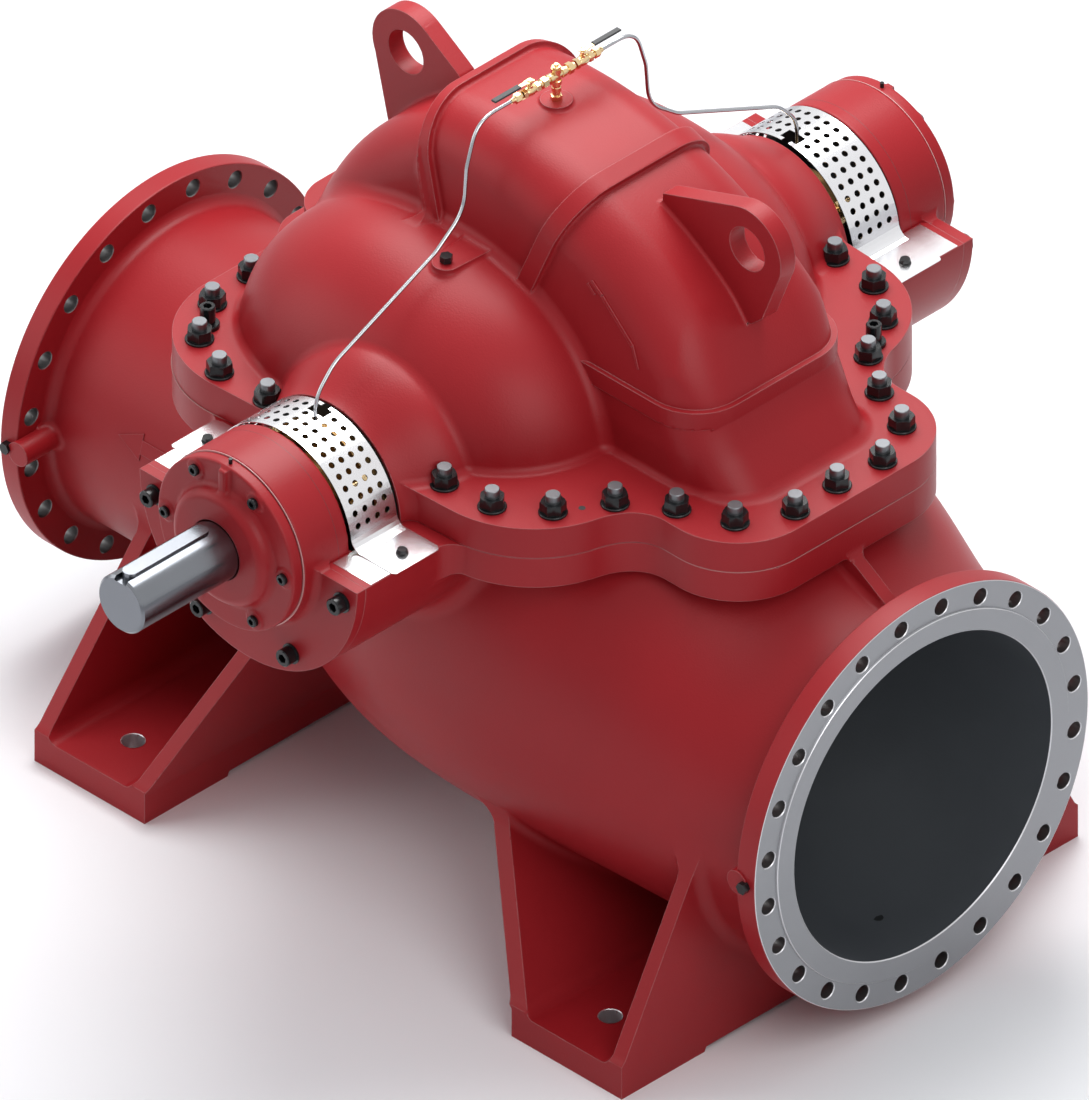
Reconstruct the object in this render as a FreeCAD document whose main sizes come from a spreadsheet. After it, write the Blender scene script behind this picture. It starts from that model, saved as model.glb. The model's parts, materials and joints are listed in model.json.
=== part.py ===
import FreeCAD, Part
import math
import os
import re

import Sketcher

from FreeCAD import Placement, Rotation, Vector

# Horizontal split case pump, millimetres.
# +Z is up, the shaft runs along Y with its drive end at -Y, the suction nozzle looks to +X.
# The origin is on the ground, at the middle of the four foundation bolts.

os.makedirs("parts", exist_ok=True)
doc = FreeCAD.newDocument("split_case_pump")

# Driving dimensions
SIZES = {
    "shaft_height": 1050.0,
    "cut_over": 10.0,
    "split_flange_thickness": 70.0,
    "gasket_thickness": 1.0,
    "suction_corner_x": 290.0,
    "suction_corner_y": 350.0,
    "suction_corner_radius": 232.0,
    "discharge_corner_x": 340.0,
    "discharge_corner_y": 378.0,
    "discharge_corner_radius": 235.0,
    "suction_tongue_reach": 812.0,
    "suction_tongue_half_width": 317.0,
    "suction_tongue_corner_radius": 158.0,
    "discharge_tongue_reach": 616.0,
    "discharge_tongue_half_width": 190.0,
    "flange_blend_radius": 90.0,
    "volute_radius": 588.0,
    "volute_centre_x": 50.0,
    "volute_centre_rise": 6.0,
    "volute_half_width": 195.0,
    "volute_edge_radius": 88.0,
    "volute_base_reach": 706.0,
    "volute_base_top_reach": 607.0,
    "volute_base_height": 200.0,
    "volute_base_corner_radius": 60.0,
    "volute_back_reach": 530.0,
    "strap_thickness": 45.0,
    "strap_radius": 627.0,
    "strap_foot_radius": 150.0,
    "strap_proud": 13.0,
    "strap_corner_radius": 98.0,
    "back_strap_angle": 17.0,
    "front_strap_angle": 21.5,
    "low_strap_height": 38.0,
    "low_strap_start": 290.0,
    "low_strap_reach": 606.0,
    "chamber_centre_x": -85.0,
    "chamber_centre_y": 230.0,
    "chamber_half_length": 435.0,
    "chamber_half_width": 300.0,
    "chamber_half_height": 366.0,
    "vent_pad_radius": 28.0,
    "vent_pad_y": 300.0,
    "vent_pad_top": 368.0,
    "vent_pad_root": 260.0,
    "neck_radius": 185.0,
    "neck_end": 612.0,
    "neck_dome_radius": 282.0,
    "neck_dome_start": 330.0,
    "neck_dome_end": 560.0,
    "lug_thickness": 40.0,
    "lug_hole_radius": 47.5,
    "lug_outer_radius": 91.5,
    "lug_hole_height": 526.0,
    "suction_lug_x": 540.0,
    "discharge_lug_x": -390.0,
    "lug_foot_height": 340.0,
    "lug_root_height": 543.0,
    "suction_lug_tip": 313.0,
    "discharge_lug_root": -246.0,
    "vent_boss_radius": 32.0,
    "vent_boss_top": 601.0,
    "vent_boss_root": 400.0,
    "nozzle_axis_height": 505.0,
    "suction_flange_face": 1000.0,
    "suction_flange_radius": 455.0,
    "suction_flange_thickness": 49.0,
    "suction_raised_radius": 397.0,
    "suction_bore_radius": 350.0,
    "suction_bolt_circle": 840.0,
    "suction_bolt_count": 24.0,
    "suction_nozzle_radius": 393.0,
    "discharge_flange_face": 1100.0,
    "discharge_flange_radius": 420.0,
    "discharge_flange_thickness": 45.0,
    "discharge_raised_radius": 360.0,
    "discharge_bore_radius": 300.0,
    "discharge_bolt_circle": 770.0,
    "discharge_bolt_count": 20.0,
    "discharge_nozzle_radius": 338.0,
    "raised_face_height": 5.0,
    "flange_hole_radius": 18.0,
    "suction_passage_depth": 560.0,
    "suction_passage_end_radius": 280.0,
    "discharge_passage_depth": 520.0,
    "discharge_passage_end_radius": 255.0,
    "bowl_half_width": 530.0,
    "bowl_half_height": 456.0,
    "bowl_belly_x": 100.0,
    "bowl_axis_height": 590.0,
    "bowl_suction_x": 600.0,
    "bowl_suction_half_width": 470.0,
    "bowl_suction_half_height": 440.0,
    "bowl_suction_axis_height": 552.0,
    "bowl_discharge_x": -333.0,
    "bowl_discharge_half_width": 395.0,
    "bowl_discharge_half_height": 365.0,
    "bowl_discharge_axis_height": 532.0,
    "bowl_crown_x": -20.0,
    "bowl_crown_half_length": 520.0,
    "bowl_crown_half_width": 450.0,
    "bowl_crown_half_height": 340.0,
    "bowl_crown_axis_height": 820.0,
    "discharge_neck_x": -600.0,
    "nozzle_root_x": 800.0,
    "nozzle_root_radius": 414.0,
    "nozzle_root_lift": 10.0,
    "foot_reach": 800.0,
    "foot_width": 300.0,
    "foot_half_length": 622.0,
    "foot_slab_top": 62.0,
    "foot_wall_start": 66.0,
    "foot_wall_thickness": 33.0,
    "foot_wall_top": 470.0,
    "suction_foot_lean": 364.0,
    "suction_foot_outer_half_length": 410.0,
    "suction_foot_inner_half_length": 352.0,
    "discharge_foot_lean": 131.0,
    "discharge_foot_outer_half_length": 289.0,
    "discharge_foot_inner_half_length": 318.0,
    "foot_pad_length": 226.0,
    "foot_pad_height": 16.0,
    "foot_bolt_x": 650.0,
    "foot_bolt_y": 503.0,
    "foot_hole_radius": 23.0,
    "bracket_radius": 296.0,
    "bracket_end": 839.0,
    "bracket_end_thickness": 90.0,
    "housing_flange": 24.0,
    "housing_radius": 187.0,
    "housing_start": 755.0,
    "housing_end": 874.0,
    "cover_radius": 183.5,
    "cover_thickness": 27.0,
    "cover_hub_radius": 130.0,
    "cover_hub_length": 29.0,
    "far_cover_rise": 12.0,
    "cover_hole_radius": 64.0,
    "shaft_end": 1188.0,
    "shaft_far_end": 860.0,
    "shaft_end_radius": 62.5,
    "shaft_journal_radius": 70.0,
    "shaft_journal_start": 740.0,
    "journal_clearance": 0.3,
    "shaft_chamfer": 5.0,
    "key_width": 32.0,
    "key_height": 18.0,
    "key_depth": 11.0,
    "key_end_gap": 12.0,
    "key_hub_gap": 24.0,
    "sleeve_radius": 80.0,
    "sleeve_inner_end": 400.0,
    "sleeve_outer_end": 705.0,
    "sleeve_gap": 1.0,
    "casing_bore_radius": 96.0,
    "gland_radius": 150.0,
    "gland_thickness": 28.0,
    "gland_spigot_length": 60.0,
    "guard_radius": 189.0,
    "guard_thickness": 2.0,
    "guard_start": 622.0,
    "guard_end": 748.0,
    "guard_foot_reach": 296.0,
    "guard_notch_half_width": 9.0,
    "guard_notch_length": 45.0,
    "rail_inner": 190.0,
    "rail_thickness": 3.0,
    "rail_start": 615.0,
    "rail_end": 800.0,
    "flush_line_rise": 55.0,
    "flush_tube_radius": 4.0,
    "nipple_radius": 9.0,
    "fitting_radius": 9.0,
    "valve_offset": 72.0,
    "valve_length": 50.0,
    "valve_stem_height": 24.0,
    "lever_length": 96.0,
    "lever_width": 13.0,
    "lever_thickness": 4.0,
    "lever_clearance": 0.3,
    "nut_radius": 10.6,
    "nut_end": 124.0,
    "plug_radius": 13.0,
    "plug_height": 14.0,
    "nipple_height": 12.0,
}

sheet = doc.addObject("Spreadsheet::Sheet", "sizes")
for row, (alias, value) in enumerate(SIZES.items(), start=1):
    sheet.set(f"A{row}", alias.replace("_", " "))
    sheet.set(f"B{row}", str(value))
    sheet.setAlias(f"B{row}", alias)
doc.recompute()


ACROSS = {
    "X": Rotation(Vector(0, 1, 0), 90),
    "Y": Rotation(Vector(1, 0, 0), -90),
    "Z": Rotation(),
}
KEEP = []


def size(alias):
    return SIZES[alias]


def cells(text):
    """Turns a formula in the names of the sizes into one in the sheet's cells."""
    return re.sub(r"[a-z_]+", lambda word: "sizes." + word.group() if word.group() in SIZES else word.group(), text)


def bind(thing, **formulas):
    for name, text in formulas.items():
        thing.setExpression(name.replace("__", "."), cells(text))
    return thing


def place(thing, x="0", y="0", z="0", rotation=None):
    if rotation is not None:
        thing.Placement = Placement(Vector(), rotation)
    for axis, text in (("x", x), ("y", y), ("z", z)):
        thing.setExpression(f".Placement.Base.{axis}", cells(text))
    return thing


def cylinder(label, radius, length, x="0", y="0", z="0", along="Z"):
    thing = doc.addObject("Part::Cylinder", label)
    bind(thing, Radius=radius, Height=length)
    return place(thing, x, y, z, ACROSS[along])


def box(label, x, y, z):
    thing = doc.addObject("Part::Box", label)
    bind(
        thing,
        Length=f"({x[1]}) - ({x[0]})",
        Width=f"({y[1]}) - ({y[0]})",
        Height=f"({z[1]}) - ({z[0]})",
    )
    return place(thing, x[0], y[0], z[0])


def hexagon(label, radius, length, x="0", y="0", z="0", along="Z"):
    thing = doc.addObject("Part::Prism", label)
    thing.Polygon = 6
    bind(thing, Circumradius=radius, Height=length)
    return place(thing, x, y, z, ACROSS[along])


def fuse(label, *things):
    result = doc.addObject("Part::MultiFuse", label)
    result.Shapes = list(things)
    result.Refine = True
    return result


def cut(label, base, *tools):
    result = doc.addObject("Part::Cut", label)
    result.Base = base
    result.Tool = tools[0] if len(tools) == 1 else fuse(label + "_tools", *tools)
    return result


def common(label, *things):
    result = doc.addObject("Part::MultiCommon", label)
    result.Shapes = list(things)
    return result


def mirrored(label, source):
    result = doc.addObject("Part::Mirroring", label)
    result.Source = source
    result.Base = Vector(0, 0, 0)
    result.Normal = Vector(0, 1, 0)
    return result


def fillet(label, base, radius, wanted):
    """Rounds the edges of base that wanted picks."""
    doc.recompute()
    result = doc.addObject("Part::Fillet", label)
    result.Base = base
    picked = [n for n, edge in enumerate(base.Shape.Edges, start=1) if wanted(edge)]
    result.Edges = [(n, radius, radius) for n in picked]
    return result


def keep(label, thing):
    thing.Label = label
    KEEP.append(thing)
    return thing


def profile(body, plane_role, name, corners):
    """A closed outline of straight lines through corners, each fixed by two sizes."""
    sketch = body.newObject("Sketcher::SketchObject", name)
    plane = [feature for feature in body.Origin.OriginFeatures if feature.Role == plane_role][0]
    sketch.AttachmentSupport = [(plane, "")]
    sketch.MapMode = "FlatFace"
    turn = 2 * math.pi / len(corners)
    start = [Vector(100 * math.cos(n * turn), 100 * math.sin(n * turn), 0) for n in range(len(corners))]
    for n, point in enumerate(start):
        sketch.addGeometry(Part.LineSegment(point, start[(n + 1) % len(start)]), False)
    for n in range(len(corners)):
        sketch.addConstraint(Sketcher.Constraint("Coincident", n, 2, (n + 1) % len(corners), 1))
    for n, (across, up) in enumerate(corners):
        for kind, text, first in (("DistanceX", across, start[n].x), ("DistanceY", up, start[n].y)):
            index = sketch.addConstraint(Sketcher.Constraint(kind, -1, 1, n, 1, first))
            sketch.setExpression(f"Constraints[{index}]", cells(text))
    return sketch


def circle_sketch(body, plane_role, name, radius, across="0", up="0"):
    sketch = body.newObject("Sketcher::SketchObject", name)
    plane = [feature for feature in body.Origin.OriginFeatures if feature.Role == plane_role][0]
    sketch.AttachmentSupport = [(plane, "")]
    sketch.MapMode = "FlatFace"
    sketch.addGeometry(Part.Circle(Vector(10, 10, 0), Vector(0, 0, 1), 20), False)
    for kind, text in (("DistanceX", across), ("DistanceY", up)):
        index = sketch.addConstraint(Sketcher.Constraint(kind, -1, 1, 0, 3, 10))
        sketch.setExpression(f"Constraints[{index}]", cells(text))
    index = sketch.addConstraint(Sketcher.Constraint("Radius", 0, 20))
    sketch.setExpression(f"Constraints[{index}]", cells(radius))
    return sketch


def turned(label, corners, z="shaft_height"):
    """A body turned about the shaft axis; corners are (along +Y, radius)."""
    body = doc.addObject("PartDesign::Body", label)
    sketch = profile(body, "YZ_Plane", label + "_profile", corners)
    turn = body.newObject("PartDesign::Revolution", label + "_turn")
    turn.Profile = sketch
    turn.ReferenceAxis = (sketch, ["H_Axis"])
    turn.Angle = 360
    return place(body, z=z)


# Split flange outline, the same for both halves of the casing
def flange_plate(label, z):
    parts = []
    for side in ("-", ""):
        parts.append(cylinder(label + "_suction_corner" + side, "suction_corner_radius",
                              f"({z[1]}) - ({z[0]})", "suction_corner_x", side + "suction_corner_y", z[0]))
        parts.append(cylinder(label + "_discharge_corner" + side, "discharge_corner_radius",
                              f"({z[1]}) - ({z[0]})", "-discharge_corner_x", side + "discharge_corner_y", z[0]))
    parts.append(box(label + "_middle", ("-discharge_corner_x", "suction_corner_x"),
                     ("-suction_corner_y - suction_corner_radius", "suction_corner_y + suction_corner_radius"), z))
    parts.append(box(label + "_waist", ("-discharge_corner_x - discharge_corner_radius",
                                        "suction_corner_x + suction_corner_radius"),
                     ("-suction_corner_y", "suction_corner_y"), z))
    suction_tongue = box(label + "_suction_tongue", ("suction_corner_x", "suction_tongue_reach"),
                         ("-suction_tongue_half_width", "suction_tongue_half_width"), z)
    parts.append(fillet(label + "_suction_tongue_round", suction_tongue, size("suction_tongue_corner_radius"),
                        lambda edge: upright(edge) and edge.BoundBox.XMin > size("suction_corner_x") + 1))
    discharge_tongue = box(label + "_discharge_tongue", ("-discharge_tongue_reach", "-discharge_corner_x"),
                           ("-discharge_tongue_half_width", "discharge_tongue_half_width"), z)
    parts.append(fillet(label + "_discharge_tongue_round", discharge_tongue, 0.5 * size("discharge_tongue_half_width"),
                        lambda edge: upright(edge) and edge.BoundBox.XMax < -size("discharge_corner_x") - 1))
    whole = fuse(label + "_outline", *parts)
    return fillet(label, whole, size("flange_blend_radius"), lambda edge: hollow_corner(edge))


def upright(edge):
    box_of = edge.BoundBox
    return box_of.XLength < 0.01 and box_of.YLength < 0.01 and box_of.ZLength > 0.1


def hollow_corner(edge):
    """The upright inner corners where the tongue at the suction side leaves the round corners."""
    place_of = edge.BoundBox
    near = abs(abs(place_of.YMin) - size("suction_tongue_half_width")) < 1
    return upright(edge) and near and place_of.XMin > size("suction_corner_x")


lower_plate = flange_plate("lower_plate", ("shaft_height - split_flange_thickness", "shaft_height"))
upper_plate = flange_plate("upper_plate", ("shaft_height + gasket_thickness",
                                           "shaft_height + split_flange_thickness"))


# Space above and below the split, and the bore for the shaft
above = box("above_split", ("-2000", "2000"), ("-2000", "2000"), ("shaft_height + gasket_thickness", "3000"))
below = box("below_split", ("-2000", "2000"), ("-2000", "2000"), ("-500", "shaft_height"))
shaft_bore = cylinder("shaft_bore", "casing_bore_radius", "2 * neck_end + 2 * cut_over", "0", "-neck_end - cut_over",
                      "shaft_height", "Y")


def neck(label):
    barrel = cylinder(label + "_barrel", "neck_radius", "2 * neck_end", "0", "-neck_end", "shaft_height", "Y")
    dome = doc.addObject("Part::Cone", label + "_dome")
    bind(dome, Radius1="neck_dome_radius", Radius2="neck_radius", Height="neck_dome_end - neck_dome_start")
    place(dome, "0", "neck_dome_start", "shaft_height", ACROSS["Y"])
    return [barrel, dome, mirrored(label + "_far_dome", dome)]


# Upper casing: volute band, straps, suction chambers, necks, lifting lugs and vent boss on one flange
def volute_band():
    disc = cylinder("volute_disc", "volute_radius", "2 * volute_half_width", "volute_centre_x",
                    "-volute_half_width", "shaft_height + volute_centre_rise", "Y")
    rounded = fillet("volute_rounded", disc, size("volute_edge_radius"),
                     lambda edge: edge.Curve.TypeId == "Part::GeomCircle")
    base = doc.addObject("Part::Wedge", "volute_base_block")
    bind(base, Xmin="0", Xmax="volute_base_reach", X2min="0", X2max="volute_base_top_reach",
         Ymin="0", Ymax="volute_base_height", Zmin="-volute_half_width - 22", Zmax="volute_half_width + 22",
         Z2min="-volute_half_width - 12", Z2max="volute_half_width + 12")
    place(base, "0", "0", "shaft_height", Rotation(Vector(1, 0, 0), 90))
    front = fillet("volute_base", base, size("volute_base_corner_radius"),
                   lambda edge: edge.BoundBox.XMin > size("volute_base_height") and edge.BoundBox.ZLength > 1)
    return [rounded, front]


def strap(label, angle):
    """A flat rib that runs over the band like a belt, in a plane at this angle from upright."""
    half = "volute_half_width + strap_proud"
    bar = doc.addObject("Part::Box", label + "_bar")
    bind(bar, Length="strap_thickness", Width=f"2 * ({half})", Height="strap_radius - strap_foot_radius")
    rounded = fillet(label + "_rounded", bar, size("strap_corner_radius"),
                     lambda edge: edge.BoundBox.ZMin > 1 and edge.BoundBox.XLength > 1)
    frame = Placement(Vector(0, 0, size("shaft_height")), Rotation(Vector(0, 1, 0), angle))
    inner = Placement(Vector(-size("strap_thickness") / 2, 0, size("strap_foot_radius")), Rotation())
    rounded.Placement = frame.multiply(inner)
    rounded.Placement.Base.y = -size("volute_half_width") - size("strap_proud")
    return rounded


def low_strap(label, low_x, high_x, top):
    plate = box(label + "_plate", (low_x, high_x), ("-volute_half_width - 24", "volute_half_width + 24"),
                (f"{top} - low_strap_height", top))
    return fillet(label, plate, size("volute_base_corner_radius") + 10,
                  lambda edge: upright(edge) and abs(edge.BoundBox.XMin) > size("lug_foot_height"))


def ellipsoid(label, half_length, half_width, half_height, x, y, z):
    """A full ellipsoid from its half axes along X, Y and Z and its centre."""
    dome = doc.addObject("Part::Ellipsoid", label)
    dome.Angle1 = -90
    dome.Angle2 = 90
    dome.Angle3 = 360
    bind(dome, Radius1=half_width, Radius2=half_length, Radius3=half_height)
    return place(dome, x, y, z, ACROSS["Y"])


def lug(label, x, side, root):
    """A lifting ear in the middle plane: a round eye on a plate that runs down into the band."""
    eye = cylinder(label + "_eye", "lug_outer_radius", "lug_thickness", x, "-lug_thickness / 2",
                   "shaft_height + lug_hole_height", "Y")
    body = doc.addObject("PartDesign::Body", label + "_plate")
    outer = f"{x} + {side} * lug_outer_radius"
    inner = f"{x} - {side} * 0.4 * lug_outer_radius"
    sketch = profile(body, "XZ_Plane", label + "_plate_outline", [
        (outer, "lug_hole_height"), (f"{x} + {side} * lug_thickness", "lug_foot_height"),
        (root, "lug_foot_height"), (root, "lug_root_height"), (inner, "lug_hole_height + 0.9 * lug_outer_radius")])
    pad = body.newObject("PartDesign::Pad", label + "_pad")
    pad.Profile = sketch
    pad.Midplane = True
    bind(pad, Length="lug_thickness")
    place(body, z="shaft_height")
    return [eye, body]


def lug_hole(label, x):
    return cylinder(label, "lug_hole_radius", "lug_thickness + 2 * cut_over", x, "-lug_thickness / 2 - cut_over",
                    "shaft_height + lug_hole_height", "Y")


near_chamber = ellipsoid("near_chamber", "chamber_half_length", "chamber_half_width", "chamber_half_height",
                         "chamber_centre_x", "-chamber_centre_y", "shaft_height")
upper_forms = volute_band() + [
    strap("back_strap", -size("back_strap_angle")),
    strap("front_strap", size("front_strap_angle")),
    low_strap("suction_low_strap", "low_strap_start", "low_strap_reach",
              "shaft_height + volute_base_height + low_strap_height"),
    low_strap("discharge_low_strap", "-volute_back_reach", "-low_strap_start", "shaft_height + volute_base_height"),
    near_chamber,
    mirrored("far_chamber", near_chamber),
]
vent_pads = []
for side in ("-", ""):
    vent_pads.append(cylinder("vent_pad" + side, "vent_pad_radius", "vent_pad_top - vent_pad_root", "0",
                              side + "vent_pad_y", "shaft_height + vent_pad_root"))
near_tail = box("vent_pad_tail", ("-vent_pad_radius", "vent_pad_radius"),
                ("-vent_pad_y", "-volute_half_width + 2 * cut_over"), ("shaft_height + vent_pad_root", "shaft_height + vent_pad_top"))
vent_pads += [near_tail, mirrored("vent_pad_far_tail", near_tail)]
upper_forms += neck("upper_neck")
upper_forms += lug("discharge_lug", "discharge_lug_x", "-1", "discharge_lug_root")
upper_forms += lug("suction_lug", "suction_lug_x", "1", "suction_lug_tip")
upper_forms.append(cylinder("vent_boss", "vent_boss_radius", "vent_boss_top - vent_boss_root", "0", "0",
                            "shaft_height + vent_boss_root"))
upper_body = common("upper_body", fuse("upper_body_whole", *upper_forms), above)
upper_casing = cut("upper_casing", fuse("upper_casting", fuse("upper_half", upper_plate, upper_body), *vent_pads),
                   shaft_bore, lug_hole("discharge_lug_hole", "discharge_lug_x"),
                   lug_hole("suction_lug_hole", "suction_lug_x"))
keep("upper_casing", upper_casing)


# Lower casing: one bowl drawn through round sections from nozzle to nozzle
def section(label, x, z, half_width, half_height=None):
    if half_height is None:
        ring = doc.addObject("Part::Circle", label)
        bind(ring, Radius=half_width)
    else:
        ring = doc.addObject("Part::Ellipse", label)
        bind(ring, MajorRadius=half_width, MinorRadius=half_height)
    turn = Rotation(Vector(0, 1, 0), Vector(0, 0, 1), Vector(1, 0, 0), "XYZ")
    return place(ring, x, "0", z, turn)


bowl = doc.addObject("Part::Loft", "bowl")
bowl.Sections = [
    section("bowl_a", "-discharge_flange_face + raised_face_height + discharge_flange_thickness",
            "nozzle_axis_height", "discharge_nozzle_radius"),
    section("bowl_b", "discharge_neck_x", "nozzle_axis_height", "discharge_nozzle_radius"),
    section("bowl_c", "bowl_discharge_x", "bowl_discharge_axis_height", "bowl_discharge_half_width",
            "bowl_discharge_half_height"),
    section("bowl_d", "bowl_belly_x", "bowl_axis_height", "bowl_half_width", "bowl_half_height"),
    section("bowl_e", "bowl_suction_x", "bowl_suction_axis_height", "bowl_suction_half_width",
            "bowl_suction_half_height"),
    section("bowl_f", "nozzle_root_x", "nozzle_axis_height + nozzle_root_lift", "nozzle_root_radius"),
    section("bowl_g", "suction_flange_face - raised_face_height - suction_flange_thickness",
            "nozzle_axis_height", "suction_nozzle_radius"),
]
bowl.Solid = True
bowl.Ruled = False

bowl_crown = ellipsoid("bowl_crown", "bowl_crown_half_length", "bowl_crown_half_width", "bowl_crown_half_height",
                       "bowl_crown_x", "0", "bowl_crown_axis_height")
lower_body = common("lower_body", fuse("lower_body_whole", bowl, bowl_crown, *neck("lower_neck")), below)
suction_passage = doc.addObject("Part::Cone", "suction_passage")
bind(suction_passage, Radius1="suction_passage_end_radius", Radius2="suction_bore_radius",
     Height="suction_passage_depth + 2 * cut_over")
place(suction_passage, "suction_flange_face - suction_passage_depth", "0", "nozzle_axis_height", ACROSS["X"])
discharge_passage = doc.addObject("Part::Cone", "discharge_passage")
bind(discharge_passage, Radius1="discharge_bore_radius", Radius2="discharge_passage_end_radius",
     Height="discharge_passage_depth + 2 * cut_over")
place(discharge_passage, "-discharge_flange_face - 2 * cut_over", "0", "nozzle_axis_height", ACROSS["X"])
lower_casing = cut("lower_casing", fuse("lower_casting", lower_plate, lower_body), shaft_bore,
                   suction_passage, discharge_passage)
keep("lower_casing", lower_casing)

gasket_plate = flange_plate("gasket_plate", ("shaft_height", "shaft_height + gasket_thickness"))
keep("split_gasket", cut("split_gasket", gasket_plate, shaft_bore))


def nozzle_flange(label, side, face, radius, thickness, raised, bore, circle, count):
    """A drilled pipe flange with a raised face, looking away from the casing along X."""
    body = doc.addObject("PartDesign::Body", label)
    back = f"{face} - raised_face_height - {thickness}"
    step = f"{face} - raised_face_height"
    sketch = profile(body, "XZ_Plane", label + "_profile", [
        (f"{side} * ({back})", bore), (f"{side} * ({back})", radius), (f"{side} * ({step})", radius),
        (f"{side} * ({step})", raised), (f"{side} * ({face})", raised), (f"{side} * ({face})", bore)])
    turn = body.newObject("PartDesign::Revolution", label + "_turn")
    turn.Profile = sketch
    turn.ReferenceAxis = (sketch, ["H_Axis"])
    turn.Angle = 360
    doc.recompute()
    hole = circle_sketch(body, "YZ_Plane", label + "_hole", "flange_hole_radius",
                         f"{circle} / 2 * sin(180 / {count})", f"{circle} / 2 * cos(180 / {count})")
    pocket = body.newObject("PartDesign::Pocket", label + "_pocket")
    pocket.Profile = hole
    pocket.Type = "ThroughAll"
    pocket.Midplane = True
    doc.recompute()
    ring = body.newObject("PartDesign::PolarPattern", label + "_holes")
    ring.Originals = [pocket]
    ring.Axis = (hole, ["N_Axis"])
    ring.Angle = 360
    bind(ring, Occurrences=count)
    body.Tip = ring
    place(body, z="nozzle_axis_height")
    return keep(label, body)


nozzle_flange("suction_flange", "1", "suction_flange_face", "suction_flange_radius", "suction_flange_thickness",
              "suction_raised_radius", "suction_bore_radius", "suction_bolt_circle", "suction_bolt_count")
nozzle_flange("discharge_flange", "-1", "discharge_flange_face", "discharge_flange_radius",
              "discharge_flange_thickness", "discharge_raised_radius", "discharge_bore_radius",
              "discharge_bolt_circle", "discharge_bolt_count")


# Feet: a slab with two walls that reach up to the bowl, on machined pads
def foot_wall(label, outline, spread):
    body = doc.addObject("PartDesign::Body", label)
    sketch = profile(body, "XZ_Plane", label + "_section", outline)
    pad = body.newObject("PartDesign::Pad", label + "_pad")
    pad.Profile = sketch
    pad.Midplane = True
    bind(pad, Length="2 * foot_half_length")
    side = doc.addObject("PartDesign::Body", label + "_side")
    shape = profile(side, "YZ_Plane", label + "_side_outline", [
        ("-foot_half_length", "0"), ("foot_half_length", "0"), ("foot_half_length", "foot_wall_start"),
        (spread, "foot_wall_top"), ("-" + spread, "foot_wall_top"), ("-foot_half_length", "foot_wall_start")])
    width = side.newObject("PartDesign::Pad", label + "_side_pad")
    width.Profile = shape
    width.Midplane = True
    bind(width, Length="4 * foot_reach")
    return common(label + "_wall", body, side)


def foot(label, lean, outer_half_length, inner_half_length):
    inner = "foot_reach - foot_width"
    slab = box(label + "_slab", (inner, "foot_reach"), ("-foot_half_length", "foot_half_length"),
               ("foot_pad_height", "foot_slab_top"))
    pads = []
    for side, start in (("near", "-foot_half_length"), ("far", "foot_half_length - foot_pad_length")):
        pads.append(box(label + "_pad_" + side, (inner, "foot_reach"), (start, start + " + foot_pad_length"),
                        ("0", "foot_pad_height")))
    outer_wall = foot_wall(label + "_outer", [
        ("foot_reach - foot_wall_thickness", "foot_pad_height"), ("foot_reach", "foot_pad_height"),
        ("foot_reach", "foot_wall_top"), ("foot_reach - foot_wall_thickness", "foot_wall_top")],
        outer_half_length)
    inner_wall = foot_wall(label + "_inner", [
        (inner, "foot_pad_height"), (inner + " + foot_wall_thickness", "foot_pad_height"),
        (inner + " + foot_wall_thickness", "foot_wall_start"),
        (inner + " + foot_wall_thickness - " + lean, "foot_wall_top"),
        (inner + " - " + lean, "foot_wall_top"), (inner, "foot_wall_start")],
        inner_half_length)
    holes = []
    for side in ("-", ""):
        holes.append(cylinder(label + "_hole" + side, "foot_hole_radius", "foot_wall_top", "foot_bolt_x",
                              side + "foot_bolt_y", "-foot_pad_height"))
    return cut(label, fuse(label + "_solid", slab, *pads, outer_wall, inner_wall), *holes)


def turned_over(label, source):
    result = doc.addObject("Part::Mirroring", label)
    result.Source = source
    result.Base = Vector(0, 0, 0)
    result.Normal = Vector(1, 0, 0)
    return result


suction_foot = foot("suction_foot", "suction_foot_lean", "suction_foot_outer_half_length",
                    "suction_foot_inner_half_length")
discharge_foot = foot("discharge_foot", "discharge_foot_lean", "discharge_foot_outer_half_length",
                      "discharge_foot_inner_half_length")
casting_space = doc.getObject("lower_casting")
keep("suction_side_foot", cut("suction_foot_fitted", suction_foot, casting_space))
keep("discharge_side_foot", cut("discharge_foot_fitted", turned_over("discharge_foot_turned", discharge_foot),
                                casting_space))


# Drive end: everything is made at -Y and mirrored to the far end
def both_ends(name, thing):
    keep("drive_end_" + name, thing)
    keep("far_end_" + name, mirrored("far_" + name, thing))


trough = cylinder("bracket_trough", "rail_inner", "bracket_end", "0", "-bracket_end + bracket_end_thickness",
                  "shaft_height", "Y")
bracket_round = cylinder("bracket_round", "bracket_radius", "bracket_end - housing_flange - 300", "0",
                         "-bracket_end + housing_flange", "shaft_height", "Y")
housing_seat = cylinder("housing_seat", "housing_radius", "bracket_end_thickness + 2 * bracket_end_thickness", "0",
                        "-bracket_end - bracket_end_thickness", "shaft_height", "Y")
bracket_low = common("bracket_low", bracket_round, below)
bracket = cut("drive_end_bracket", bracket_low, trough, housing_seat, doc.getObject("lower_casting"))
both_ends("bracket", bracket)

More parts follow.
